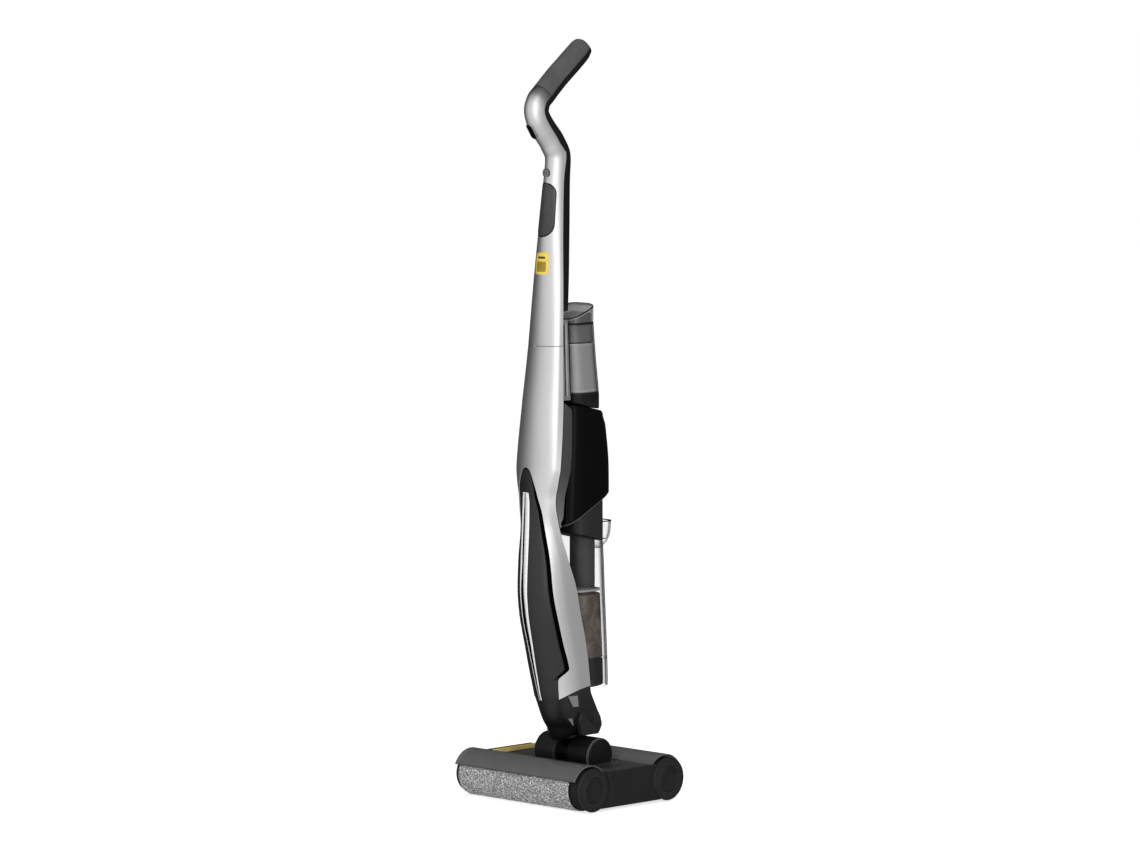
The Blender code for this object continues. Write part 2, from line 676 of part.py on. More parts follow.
def make_buttons():
    """Power button on the stem's front and the slot button at the front of the bend, each in its hole."""
    handle = bpy.data.objects["handle_shell"]
    buttons = (
        ("power_button", 3.1, 5.4, 1.0, 1.0, grey()),
        ("mode_button", 6.45, 4.6, 2.6, 1.4, black()),
    )
    for name, at, radius, stretch, proud, made in buttons:
        y, z, forward, depth, *_ = handle_frame(at)
        face = (y + forward[0] * depth, z + forward[1] * depth)
        hole = tilted_plug(face, forward, radius + GAP, -9.0, 9.0, stretch)
        boolean(handle, add_object(f"cut_{name}", hole, made), "DIFFERENCE")
        plug = tilted_plug(face, forward, radius, -4.0, proud, stretch)
        add_object(name, plug, made, (0.0, *face))


def side_panel_row(z, front, rear, side, inset):
    half = smooth(SHELL_STATIONS, z)[2] - inset
    return [(side * (half + grow), y, z) for y, grow in ((front, 0.0), ((front + rear) / 2, 0.9), (rear, 1.2))]


def make_side_panels():
    """Dark cheeks between the silver shell's rear edge and the motor housing."""
    for name, side in (("left", -1), ("right", 1)):
        rows = []
        for z in np.linspace(404.0, 584.0, 10):
            edge = smooth(SHELL_STATIONS, z)[0]
            front = edge + 1.4
            rear = float(smooth(CHEEK_REAR, z)[0])
            rows.append((z, front, max(rear, front + 2.0)))
        outer = [side_panel_row(*row, side, 0.2) for row in rows]
        inner = [side_panel_row(*row, side, 3.0) for row in rows]
        add_object(f"cheek_{name}", sheet(outer, inner), charcoal())


def housing_ring(z, shrink=0.0, base=None, slope=0.0):
    """A section of the motor housing, level or on the slanted plane base + slope * y."""
    front, rear, half = smooth(HOUSING, z)
    ring = rounded_ring(z, rear - shrink, front + shrink, half - shrink, 36, 0.5)
    if base is None:
        return ring
    return [(x, y, base + slope * y) for x, y, _ in ring]


def make_motor_housing():
    """Gloss black housing with the suction motor, its fan and the exhaust filter."""
    rings = [housing_ring(448.0, 0.0, HOUSING_UNDER, HOUSING_UNDER_SLOPE)]
    rings += [housing_ring(478.0), housing_ring(520.0), housing_ring(552.0)]
    rings += [housing_ring(572.0, 0.5, HOUSING_TOP - 4.0, HOUSING_TOP_SLOPE)]
    rings += [housing_ring(576.0, 3.0, HOUSING_TOP, HOUSING_TOP_SLOPE)]
    rings += [housing_ring(576.0, 6.0, HOUSING_TOP, HOUSING_TOP_SLOPE)]
    rings += [housing_ring(545.0, 4.0), housing_ring(480.0, 4.0)]
    add_object("motor_housing", loft(rings), black())
    motor = [(483.0, 20.0), (483.1, 28.0), (516.0, 28.0), (518.0, 24.0), (518.0, 3.0), (524.0, 3.0)]
    add_object("suction_motor", turned("Z", (0.0, 8.0), motor, 28), bright())
    fan = [(525.0, 8.0), (525.0, 27.0), (527.0, 27.5), (537.0, 12.0), (541.0, 8.0)]
    add_object("fan", turned("Z", (0.0, 8.0), fan, 28), grey(), (0.0, 8.0, 533.0))
    add_object("exhaust_filter", turned("Z", (0.0, 8.0), ((546.0, 29.0), (557.0, 29.0)), 28), pile())


# ---------------------------------------------------------------- tanks


def tank_rings(stations, shrink, count=32):
    return [rounded_ring(z, rear - shrink, front + shrink, half - shrink, count) for z, front, rear, half in stations]


def make_clean_tank():
    """Clean-water tank on the motor housing: cup, dark base with its valve, and slanted lid."""
    inside = ((CLEAN_TANK[0][0] + 2.0, *CLEAN_TANK[0][1:]), CLEAN_TANK[1], CLEAN_TANK[2])
    rings = tank_rings(CLEAN_TANK, 0.0) + tank_rings(inside, TANK_WALL)[::-1]
    add_object("clean_tank", loft(rings), clear_plastic())
    _, front, rear, half = CLEAN_TANK[0]
    top = CLEAN_TANK[0][0] - GAP
    rings = [rounded_ring(CLEAN_BASE_FRONT, rear, front, half, slope=HOUSING_TOP_SLOPE)]
    rings += [rounded_ring(top, rear, front, half)]
    add_object("clean_tank_base", loft(rings), black())
    low, front, rear, half = CLEAN_TANK[2]
    lid = (rear, front + 2.0, half)
    rings = [rounded_ring(low + GAP, *lid), rounded_ring(LID_FRONT, *lid, slope=LID_SLOPE)]
    add_object("clean_tank_lid", loft(rings), clear_plastic(), (0.0, rear, low + GAP))


def dirty_ring(z, shrink=0.0, base=None, slope=0.0):
    """A section of the dirty tank, level or on the slanted plane base + slope * y."""
    front, rear, half = smooth(DIRTY_TANK, z)
    ring = rounded_ring(z, rear - shrink, front + shrink, half - shrink)
    if base is None:
        return ring
    return [(x, y, base + slope * y) for x, y, _ in ring]


def make_dirty_tank():
    """Dirty-water tank below the housing: cup, base, lid with its separator, float and rear handle."""
    levels = (DIRTY_BASE_TOP + 0.6, 240.0, 276.0, 306.0, 350.0)
    rim = DIRTY_RIM - DIRTY_RIM_SLOPE * DIRTY_TANK[0][1]
    rings = [dirty_ring(z) for z in levels] + [dirty_ring(390.0, 0.0, rim, DIRTY_RIM_SLOPE)]
    rings += [dirty_ring(390.0, TANK_WALL, rim, DIRTY_RIM_SLOPE)]
    rings += [dirty_ring(z, TANK_WALL) for z in levels[:0:-1]] + [dirty_ring(208.0, TANK_WALL)]
    add_object("dirty_cup", loft(rings), clear_plastic())
    low = dirty_ring(168.0, 1.0, DIRTY_BASE_BOTTOM - DIRTY_BASE_SLOPE * 11.0, DIRTY_BASE_SLOPE)
    rings = [low, dirty_ring(182.0), dirty_ring(DIRTY_BASE_TOP)]
    add_object("dirty_tank_base", loft(rings), charcoal())
    rings = [dirty_ring(392.0, 0.0, rim + GAP, DIRTY_RIM_SLOPE)]
    rings.append(dirty_ring(400.0, 0.0, HOUSING_UNDER - 1.0, HOUSING_UNDER_SLOPE))
    add_object("dirty_tank_lid", loft(rings), black())
    tube = [(322.0, 11.0), (322.0, SEPARATOR_RADIUS), (386.0, SEPARATOR_RADIUS), (386.0, 11.0)]
    add_object("separator_tube", turned("Z", (0.0, SEPARATOR_Y), tube, 24, True), charcoal())
    disc = turned("Z", (0.0, SEPARATOR_Y), ((303.0, 13.0), (304.0, 15.0), (309.0, 15.0), (310.0, 13.0)), 24)
    add_object("float_disc", disc, grey(), (0.0, SEPARATOR_Y, 306.5))
    make_dirty_handle()


def make_dirty_handle():
    """The lip at the rear of the dirty tank, with the release button in it."""
    rings = []
    for z, rear, half in ((364.0, 54.0, 12.0), (374.0, 67.0, 17.0), (386.0, 72.0, 19.5), (404.0, 74.0, 20.0)):
        rings.append(rounded_ring(z, rear, 46.8, half, 24, 0.6))
    handle = add_object("dirty_tank_handle", loft(rings), clear_plastic())
    pocket = []
    for z, rear, half in ((378.0, 63.0, 14.0), (392.0, 69.6, 17.4), (410.0, 72.4, 18.4)):
        pocket.append(rounded_ring(z, rear, 49.0, half, 24, 0.6))
    boolean(handle, add_object("cut_handle_pocket", loft(pocket), black()), "DIFFERENCE")
    box("release_button", (-8.0, 52.0, 390.0), (8.0, 56.0, 401.0), black(), 1.0)


def main():
    clear_scene()
    make_chassis()
    make_deck()
    make_hoods()
    make_sides()
    make_head_trim()
    for name, y in (("front", -ROLLER_Y), ("rear", ROLLER_Y)):
        make_roller(name, y)
        make_end_cap(name, y)
    make_ears()
    make_yoke()
    make_neck()
    make_duct_boot()
    make_body_shell()
    make_belly()
    make_internals()
    make_handle()
    make_dock()
    make_display()
    make_buttons()
    make_side_panels()
    make_motor_housing()
    make_clean_tank()
    make_dirty_tank()


main()
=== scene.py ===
"""Looks of the cordless wet dry floor scrubber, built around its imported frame.

Lengths in the tables are millimetres, in the frame's axes: +Z up, the front at -Y, the user at +Y.
"""

import math

import bmesh
import bpy
import numpy as np
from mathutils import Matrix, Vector


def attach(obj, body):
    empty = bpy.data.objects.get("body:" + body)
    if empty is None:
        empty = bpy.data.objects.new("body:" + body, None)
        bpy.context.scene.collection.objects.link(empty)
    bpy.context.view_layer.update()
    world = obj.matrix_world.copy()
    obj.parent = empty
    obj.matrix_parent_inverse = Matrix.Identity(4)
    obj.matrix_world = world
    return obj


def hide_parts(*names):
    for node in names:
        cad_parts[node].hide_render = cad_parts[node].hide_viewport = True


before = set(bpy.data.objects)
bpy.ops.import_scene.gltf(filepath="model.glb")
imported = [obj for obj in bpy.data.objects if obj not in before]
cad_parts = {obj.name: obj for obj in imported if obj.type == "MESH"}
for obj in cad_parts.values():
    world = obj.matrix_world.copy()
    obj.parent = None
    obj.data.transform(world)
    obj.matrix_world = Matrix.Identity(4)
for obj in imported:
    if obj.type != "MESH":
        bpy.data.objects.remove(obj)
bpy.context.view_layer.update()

MM = 0.001
SEED = 11

# Upright: height, rear edge, front centre, half-width and roundness of the silver shell
SHELL_STATIONS = (
    (667.0, -43.5, -69.5, 32.0, 1.15),
    (629.5, -46.0, -74.0, 34.5, 1.15),
    (576.0, -49.4, -81.0, 38.0, 1.15),
    (492.0, -58.9, -88.5, 42.0, 1.25),
    (470.0, -60.7, -90.0, 39.0, 1.35),
    (445.0, -61.0, -90.0, 34.0, 1.4),
    (410.0, -53.8, -91.5, 32.5, 1.4),
    (357.0, -39.4, -93.8, 38.0, 1.0),
    (317.0, -25.0, -95.0, 39.5, 0.78),
    (280.0, -16.7, -91.5, 40.0, 0.7),
    (229.0, -3.7, -80.0, 39.5, 0.68),
    (192.0, 2.8, -71.0, 38.8, 0.68),
    (165.0, 7.7, -64.0, 37.5, 0.68),
    (125.0, 18.0, -54.0, 36.0, 0.62),
    (94.0, 24.0, -38.0, 33.0, 0.6),
)
# Height and angle of the crease where the silver face turns into its bevel
CREASE_STATIONS = (
    (667.0, 72.0),
    (576.0, 70.5),
    (492.0, 67.0),
    (445.0, 57.0),
    (410.0, 64.0),
    (357.0, 73.0),
    (317.0, 75.0),
    (229.0, 78.0),
    (151.0, 80.0),
)
# Height and angle from the front centre at which the silver legs begin
LEG_STATIONS = (
    (492.0, 0.0),
    (490.5, 6.0),
    (487.0, 11.0),
    (470.0, 22.0),
    (452.0, 32.0),
    (424.0, 45.0),
    (388.0, 51.0),
    (356.0, 55.5),
    (310.0, 59.0),
    (271.0, 63.0),
    (232.0, 65.0),
    (197.0, 68.5),
    (180.0, 48.0),
    (152.0, 44.0),
)
# Joint line with the back strip (y, z), tilt, depth, half-width, strip depth, strip half-width, roundness
HANDLE_STATIONS = (
    (-43.8, 667.3, 0.0, 25.7, 32.0, 16.0, 30.0, 1.15),
    (-39.0, 749.5, 0.0, 24.5, 27.5, 18.5, 27.0, 1.3),
    (-33.0, 833.0, 0.0, 23.0, 21.0, 20.5, 20.5, 1.3),
    (-25.0, 912.0, 0.0, 22.5, 15.5, 18.0, 15.1, 1.2),
    (-20.6, 940.1, -12.0, 25.0, 15.2, 14.0, 14.6, 1.0),
    (-29.6, 964.2, -35.0, 27.5, 15.5, 9.5, 14.2, 0.9),
    (-47.0, 987.1, -40.0, 29.0, 15.5, 7.0, 14.0, 0.9),
    (-55.2, 999.1, -20.0, 30.0, 15.5, 6.0, 13.8, 0.9),
    (-58.0, 1006.3, 8.0, 30.0, 15.5, 6.0, 13.6, 0.9),
    (-56.2, 1013.7, 33.0, 29.0, 15.5, 6.0, 13.4, 0.9),
    (-46.6, 1022.7, 46.0, 28.5, 15.5, 5.5, 13.2, 0.9),
    (-22.6, 1044.1, 49.0, 27.9, 15.5, 5.5, 13.0, 0.85),
    (5.2, 1065.8, 49.0, 27.9, 15.5, 5.5, 13.0, 0.85),
    (24.2, 1081.2, 49.0, 27.5, 15.2, 5.5, 12.6, 0.85),
    (31.6, 1088.2, 49.0, 25.0, 13.8, 4.8, 10.0, 0.85),
    (35.4, 1094.0, 49.0, 17.0, 9.0, 3.0, 5.5, 0.85),
)
SILVER_TOP = 10.0
STRIP_START = 0.6
HANDLE_CREASE = 74.0
CHEEK_REAR = ((402.0, -57.0), (420.0, -45.0), (436.0, -44.5), (520.0, -36.5), (573.0, -33.5), (586.0, -50.0))
# Height, front, rear and half-width
HOUSING = (
    (440.0, -43.5, 55.5, 41.0),
    (490.0, -39.5, 54.0, 41.5),
    (540.0, -35.5, 48.5, 40.5),
    (580.0, -33.0, 42.0, 39.0),
)
CLEAN_TANK = (
    (583.0, -27.0, 37.0, 38.4),
    (597.0, -27.0, 36.0, 38.0),
    (650.0, -27.0, 31.5, 35.0),
    (704.0, -26.6, 28.3, 32.3),
)
DIRTY_TANK = (
    (400.0, -22.0, 43.0, 38.3),
    (350.0, -22.0, 46.0, 38.0),
    (306.0, -21.0, 48.5, 37.6),
    (276.0, -13.8, 50.0, 37.3),
    (240.0, -5.0, 51.5, 37.0),
    (205.0, 2.0, 53.0, 36.5),
    (158.0, 11.0, 55.0, 35.0),
)
BOOT = ((93.8, 46.0), (100.0, 46.0), (112.0, 46.0), (130.0, 37.0), (144.0, 29.0), (157.0, 22.0))
ROLLER_Y = 77.3
ROLLER_Z = 33.0
HALF_WIDTH = 129.0
PIVOT_Y = 8.7
PIVOT_Z = 65.5
EAR_RADIUS = 27.0
TANK_SEAT = -0.213
SIDES = (("left", -1), ("right", 1))
ROLLERS = (("front", -ROLLER_Y), ("rear", ROLLER_Y))


# ---------------------------------------------------------------- materials


class Surface:
    """A Principled material with procedural variation, built up step by step."""

    def __init__(self, name, color, roughness, metallic=0.0, **sockets):
        self.material = bpy.data.materials.new(name)
        self.material.use_nodes = True
        self.nodes = self.material.node_tree.nodes
        self.links = self.material.node_tree.links
        self.shader = self.nodes["Principled BSDF"]
        self.color = color
        self.roughness = roughness
        self.set("Base Color", (*color, 1.0))
        self.set("Roughness", roughness)
        self.set("Metallic", metallic)
        for socket, value in sockets.items():
            self.set(socket.replace("_", " "), value)
        self.coords = self.nodes.new("ShaderNodeTexCoord").outputs["Object"]

    def set(self, socket, value):
        self.shader.inputs[socket].default_value = value

    def noise(self, scale, detail=3.0, stretch=(1.0, 1.0, 1.0), rough=0.55):
        mapping = self.nodes.new("ShaderNodeMapping")
        mapping.inputs["Scale"].default_value = stretch
        self.links.new(self.coords, mapping.inputs["Vector"])
        node = self.nodes.new("ShaderNodeTexNoise")
        node.inputs["Scale"].default_value = scale
        node.inputs["Detail"].default_value = detail
        node.inputs["Roughness"].default_value = rough
        self.links.new(mapping.outputs["Vector"], node.inputs["Vector"])
        return node.outputs["Fac"]

    def cells(self, scale, stretch=(1.0, 1.0, 1.0)):
        mapping = self.nodes.new("ShaderNodeMapping")
        mapping.inputs["Scale"].default_value = stretch
        self.links.new(self.coords, mapping.inputs["Vector"])
        node = self.nodes.new("ShaderNodeTexVoronoi")
        node.inputs["Scale"].default_value = scale
        self.links.new(mapping.outputs["Vector"], node.inputs["Vector"])
        return node.outputs["Distance"]

    def ramp(self, factor, stops):
        node = self.nodes.new("ShaderNodeValToRGB")
        ramp = node.color_ramp
        ramp.elements[0].position, ramp.elements[0].color = stops[0][0], (*stops[0][1], 1.0)
        ramp.elements[1].position, ramp.elements[1].color = stops[-1][0], (*stops[-1][1], 1.0)
        for place, color in stops[1:-1]:
            ramp.elements.new(place).color = (*color, 1.0)
        self.links.new(factor, node.inputs["Fac"])
        return node.outputs["Color"]

    def spread(self, factor, low, high, start=0.3, end=0.7):
        node = self.nodes.new("ShaderNodeMapRange")
        node.inputs["From Min"].default_value = start
        node.inputs["From Max"].default_value = end
        node.inputs["To Min"].default_value = low
        node.inputs["To Max"].default_value = high
        self.links.new(factor, node.inputs["Value"])
        return node.outputs["Result"]

    def tint(self, factor, amount):
        """Varies the base colour up and down by amount, as a share of it."""
        low = tuple(c * (1 - amount) for c in self.color)
        high = tuple(min(c * (1 + amount), 1.0) for c in self.color)
        self.links.new(self.ramp(factor, ((0.32, low), (0.68, high))), self.shader.inputs["Base Color"])
        return self

    def gloss(self, factor, amount):
        """Varies the roughness up and down by amount."""
        low, high = self.roughness - amount, self.roughness + amount
        self.links.new(self.spread(factor, max(low, 0.02), high), self.shader.inputs["Roughness"])
        return self

    def bump(self, factor, strength, depth):
        """depth is in millimetres."""
        node = self.nodes.new("ShaderNodeBump")
        node.inputs["Strength"].default_value = strength
        node.inputs["Distance"].default_value = depth * MM
        self.links.new(factor, node.inputs["Height"])
        self.links.new(node.outputs["Normal"], self.shader.inputs["Normal"])
        return self

    def painted_edge_highlight(self, amount):
        """Lightens the colour along convex edges, as a painted highlight."""
        geometry = self.nodes.new("ShaderNodeNewGeometry")
        edge = self.spread(geometry.outputs["Pointiness"], 0.0, 1.0, 0.53, 0.62)
        mix = self.nodes.new("ShaderNodeMix")
        mix.data_type = "RGBA"
        mix.blend_type = "SCREEN"
        base = self.shader.inputs["Base Color"]
        if base.is_linked:
            self.links.new(base.links[0].from_socket, mix.inputs[6])
        else:
            mix.inputs[6].default_value = base.default_value
        mix.inputs[7].default_value = (amount, amount, amount, 1.0)
        self.links.new(edge, mix.inputs["Factor"])
        self.links.new(mix.outputs[2], base)
        return self

    def facing(self, low, high, start, end, power=0.35):
        """Alpha that grows towards grazing angles, as a clear wall does."""
        weight = self.nodes.new("ShaderNodeLayerWeight")
        weight.inputs["Blend"].default_value = power
        edge = self.spread(weight.outputs["Facing"], low, high, start, end)
        self.links.new(edge, self.shader.inputs["Alpha"])
        return self


def plastic(name, color, roughness, grain=0.12, size=1100.0, coat=0.0, edges=0.04, shine=0.22):
    """Moulded plastic: fine spark-eroded grain, faint blotches and convex edges lightened as a painted highlight."""
    made = Surface(name, color, roughness, Coat_Weight=coat, Coat_Roughness=0.08, Specular_IOR_Level=shine)
    blotch = made.noise(38.0, 4.0)
    made.tint(blotch, 0.14).gloss(made.noise(85.0, 5.0), 0.06)
    if edges:
        made.painted_edge_highlight(edges)
    made.bump(made.noise(size, 2.0), grain, 0.12)
    return made.material


def brushed(name, color, roughness, along=(1.0, 1.0, 0.04), metallic=1.0):
    made = Surface(name, color, roughness, metallic)
    lines = made.noise(900.0, 3.0, along)
    made.tint(lines, 0.12).gloss(made.noise(60.0, 3.0), 0.05).bump(lines, 0.15, 0.05)
    return made.material


def silver_paint():
    made = Surface("silver_paint", (0.70, 0.70, 0.705), 0.36, 0.97)
    flake = made.cells(2600.0)
    made.tint(made.spread(flake, 0.25, 0.75, 0.1, 0.8), 0.06).gloss(made.noise(30.0, 4.0), 0.03)
    # Convex edges lightened as a painted highlight.
    made.painted_edge_highlight(0.12).bump(made.noise(1700.0, 2.0), 0.05, 0.04)
    return made.material


def height_tone(name, low, high, roughness, shine=0.25):
    """Plastic drawn in fine upright lines, whose tone runs between two heights."""
    made = Surface(name, low[1], roughness, Specular_IOR_Level=shine)
    split = made.nodes.new("ShaderNodeSeparateXYZ")
    made.links.new(made.coords, split.inputs[0])
    share = made.spread(split.outputs["Z"], 0.0, 1.0, low[0], high[0])
    lines = made.noise(1500.0, 2.0, (1.0, 1.0, 0.03))
    mixed = made.nodes.new("ShaderNodeMath")
    mixed.operation = "ADD"
    made.links.new(share, mixed.inputs[0])
    made.links.new(made.spread(lines, -0.12, 0.12), mixed.inputs[1])
    color = made.ramp(mixed.outputs[0], ((0.0, low[1]), (1.0, high[1])))
    made.links.new(color, made.shader.inputs["Base Color"])
    made.gloss(made.noise(85.0, 5.0), 0.06).bump(lines, 0.12, 0.06)
    return made.material


def silver_with_painted_reflection():
    """Silver paint darkened along the handle's bend towards the rubber grip: a painted dark reflection, which also
    blends it into the grip's tone.
    """
    made = Surface("silver_painted_reflection", (0.70, 0.70, 0.705), 0.36, 0.97)
    along = made.nodes.new("ShaderNodeVectorMath")
    along.operation = "DOT_PRODUCT"
    along.inputs[1].default_value = (0.0, 0.65, 0.75)
    made.links.new(made.coords, along.inputs[0])
    share = made.spread(along.outputs["Value"], 0.0, 1.0, 0.712, 0.738)
    tones = ((0.0, (0.70, 0.70, 0.705)), (0.55, (0.30, 0.30, 0.305)), (1.0, (0.12, 0.12, 0.122)))
    color = made.ramp(share, tones)
    made.links.new(color, made.shader.inputs["Base Color"])
    made.gloss(made.noise(30.0, 4.0), 0.03).bump(made.noise(1700.0, 2.0), 0.05, 0.04)
    return made.material


def clear_wall(name, color, low, high, roughness=0.05, start=0.4, end=0.95):
    made = Surface(name, color, roughness, Specular_IOR_Level=0.8, Coat_Weight=0.6, Coat_Roughness=0.03)
    made.tint(made.noise(20.0, 3.0), 0.06).gloss(made.noise(70.0, 3.0), 0.02).facing(low, high, start, end)
    made.bump(made.noise(40.0, 2.0), 0.03, 0.2)
    return made.material


def heather_pile():
    made = Surface("heather_pile", (0.3, 0.3, 0.305), 0.95, Sheen_Weight=0.35, Sheen_Roughness=0.6)
    tufts = made.noise(420.0, 4.0, rough=0.75)
    color = made.ramp(
        tufts,
        (
            (0.38, (0.05, 0.05, 0.052)),
            (0.46, (0.20, 0.20, 0.205)),
            (0.53, (0.48, 0.48, 0.485)),
            (0.62, (0.90, 0.90, 0.90)),
        ),
    )
    made.links.new(color, made.shader.inputs["Base Color"])
    made.bump(made.noise(900.0, 3.0, rough=0.8), 0.9, 0.9)
    return made.material


def dirty_liquid():
    made = Surface("dirty_liquid", (0.10, 0.075, 0.06), 0.25, Specular_IOR_Level=0.6)
    swirl = made.noise(42.0, 8.0, (1.0, 1.0, 0.45), 0.72)
    color = made.ramp(
        swirl,
        (
            (0.28, (0.020, 0.015, 0.012)),
            (0.45, (0.075, 0.055, 0.045)),
            (0.56, (0.15, 0.12, 0.10)),
            (0.66, (0.26, 0.24, 0.21)),
            (0.76, (0.14, 0.055, 0.03)),
        ),
    )
    made.links.new(color, made.shader.inputs["Base Color"])
    made.gloss(made.noise(90.0, 3.0), 0.1)
    return made.material


def water():
    made = Surface("still_water", (0.35, 0.352, 0.355), 0.2, Specular_IOR_Level=0.3)
    made.tint(made.noise(16.0, 3.0, (1.0, 1.0, 0.3)), 0.07).gloss(made.noise(45.0, 2.0), 0.05)
    return made.material


def printed_label():
    made = Surface("label_print", (0.83, 0.60, 0.05), 0.42, Coat_Weight=0.4)
    made.tint(made.noise(260.0, 3.0), 0.10).gloss(made.noise(120.0, 3.0), 0.06)
    return made.material


def fibre_pad():
    made = Surface("fibre_pad", (0.12, 0.12, 0.118), 0.95, Sheen_Weight=0.3)
    made.tint(made.noise(700.0, 5.0), 0.35).bump(made.noise(1500.0, 4.0), 0.6, 0.4)
    return made.material


def solder_mask():
    made = Surface("solder_mask", (0.02, 0.17, 0.07), 0.4)
    made.tint(made.cells(220.0), 0.4).gloss(made.noise(120.0), 0.1)
    return made.material


SILVER = silver_paint()
SILVER_PAINTED_REFLECTION = silver_with_painted_reflection()
BEVEL_GREY = brushed("bevel_metal", (0.52, 0.52, 0.53), 0.38, (1.0, 1.0, 1.0))
BLACK = plastic("black_satin", (0.005, 0.005, 0.0055), 0.34, 0.08)
GLOSS_BLACK = plastic("black_gloss", (0.0015, 0.0015, 0.002), 0.16, 0.02, 500.0, 0.0, 0.01, 0.08)
# Near-black with no sheen, for the painted shadow between the legs and the belly.
GAP_SHADOW = plastic("shadow_gap", (0.0015, 0.0015, 0.0015), 0.8, 0.1, edges=0.0, shine=0.0)
BELLY = height_tone("belly_satin", (0.128, (0.004, 0.004, 0.0045)), (0.172, (0.014, 0.014, 0.015)), 0.3, 0.45)
CHARCOAL = plastic("charcoal_satin", (0.013, 0.013, 0.014), 0.40, 0.12)
CHEEK = plastic("edge_grey", (0.062, 0.062, 0.065), 0.40, 0.16, 800.0)
CHEEK_SIDE = height_tone("cheek_grey", (0.41, (0.15, 0.15, 0.155)), (0.49, (0.052, 0.052, 0.054)), 0.4)
GREY = plastic("mid_grey", (0.20, 0.20, 0.208), 0.42)
LIGHT_GREY = plastic("light_grey", (0.42, 0.42, 0.43), 0.4)
DARK_GREY = plastic("dark_grey", (0.055, 0.056, 0.058), 0.4)
HOOD = clear_wall("smoked_hood", (0.14, 0.14, 0.143), 0.84, 0.99, 0.16)
RUBBER = plastic("grip_rubber", (0.085, 0.085, 0.087), 0.55, 0.4, 1500.0, edges=0.02)
SOFT_RUBBER = plastic("seal_rubber", (0.02, 0.02, 0.021), 0.66, 0.3, 900.0)
CHROME = brushed("plated_chrome", (0.95, 0.95, 0.96), 0.22, (1.0, 1.0, 0.2), 0.3)
ALUMINIUM = brushed("motor_metal", (0.55, 0.56, 0.58), 0.32)
WRAP = brushed("cell_wrap", (0.10, 0.11, 0.14), 0.35, metallic=0.3)
GOLD = plastic("yellow_strip", (0.82, 0.62, 0.2), 0.35, 0.05, coat=0.3)
PILE = heather_pile()
CLEAR = clear_wall("clear_tank", (0.07, 0.07, 0.073), 0.05, 0.9, start=0.27, end=0.6)
PANE = clear_wall("lid_pane", (0.42, 0.42, 0.43), 0.28, 0.8)
LINER = plastic("liner_grey", (0.16, 0.16, 0.163), 0.4)
SMOKED = clear_wall("smoked_tank", (0.16, 0.16, 0.165), 0.40, 0.9)
LENS = plastic("lens_gloss", (0.045, 0.045, 0.047), 0.16, 0.02, 400.0, 0.0, 0.02, 0.4)
LIQUID = dirty_liquid()
WATER = water()
LABEL = printed_label()
OCHRE = plastic("label_ochre", (0.34, 0.24, 0.03), 0.45, 0.05)
PAD = fibre_pad()
BOARD = solder_mask()


# ---------------------------------------------------------------- mesh helpers


def smooth(table, at):
    """Reads a table by its first column, through a smooth curve that doesn't overshoot."""
    rows = np.array(sorted(table))
    x, y = rows[:, 0], rows[:, 1:]
    step = np.diff(x)[:, None]
    slope = np.diff(y, axis=0) / step
    tangent = np.zeros_like(y)
    tangent[0], tangent[-1] = slope[0], slope[-1]
    same = slope[:-1] * slope[1:] > 0
    mean = 2 * slope[:-1] * slope[1:] / np.where(same, slope[:-1] + slope[1:], 1)
    tangent[1:-1] = np.where(same, mean, 0)
    i = int(np.clip(np.searchsorted(x, at) - 1, 0, len(x) - 2))
    h = x[i + 1] - x[i]
    t = (at - x[i]) / h
    value = (2 * t**3 - 3 * t**2 + 1) * y[i] + (t**3 - 2 * t**2 + t) * h * tangent[i]
    value += (-2 * t**3 + 3 * t**2) * y[i + 1] + (t**3 - t**2) * h * tangent[i + 1]
    return value


def grid_faces(mesh, grid, wrap=False):
    for low, high in zip(grid, grid[1:]):
        for i in range(len(low) if wrap else len(low) - 1):
            j = (i + 1) % len(low)
            mesh.faces.new((low[i], low[j], high[j], high[i]))


def loft(rings, closed=False, mesh=None):
    """A skin over rings of equal length, capped at both ends or closed like a torus."""
    mesh = mesh or bmesh.new()
    rows = [[mesh.verts.new(point) for point in ring] for ring in rings]
    grid_faces(mesh, rows + rows[:1] if closed else rows, True)
    if not closed:
        mesh.faces.new(rows[0])
        mesh.faces.new(rows[-1])
    return mesh


def sheet(outer, inner, mesh=None, open_start=False):
    """A wall between two grids of points, closed round its rim."""
    mesh = mesh or bmesh.new()
    out = [[mesh.verts.new(point) for point in row] for row in outer]
    within = [[mesh.verts.new(point) for point in row] for row in inner]
    grid_faces(mesh, out)
    grid_faces(mesh, within)
    for level in range(len(out) - 1):
        for side in (0, -1):
            edge = (out[level][side], out[level + 1][side])
            mesh.faces.new((*edge, within[level + 1][side], within[level][side]))
    for level in (0, -1):
        if level == 0 and open_start:
            continue
        for i in range(len(out[0]) - 1):
            edge = (out[level][i], out[level][i + 1])
            mesh.faces.new((*edge, within[level][i + 1], within[level][i]))
    return mesh


def piece(name, mesh, material, body, replaces=(), bevel=0.0, angle=32.0, segments=3):
    """Makes an object of a bmesh in millimetres and gives it to its body."""
    bmesh.ops.remove_doubles(mesh, verts=mesh.verts, dist=0.0005)
    bmesh.ops.recalc_face_normals(mesh, faces=mesh.faces)
    bmesh.ops.scale(mesh, vec=(MM, MM, MM), verts=mesh.verts)
    data = bpy.data.meshes.new(name)
    mesh.to_mesh(data)
    mesh.free()
    data.materials.append(material)
    data.shade_smooth()
    data.set_sharp_from_angle(angle=math.radians(angle))
    obj = bpy.data.objects.new(name, data)
    bpy.context.scene.collection.objects.link(obj)
    if bevel:
        modifier = obj.modifiers.new("rounded_edges", "BEVEL")
        modifier.width = bevel * MM
        modifier.segments = segments
        modifier.limit_method = "ANGLE"
        modifier.angle_limit = math.radians(angle)
        modifier.harden_normals = True
    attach(obj, body)
    if replaces:
        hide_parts(*replaces)
    return obj


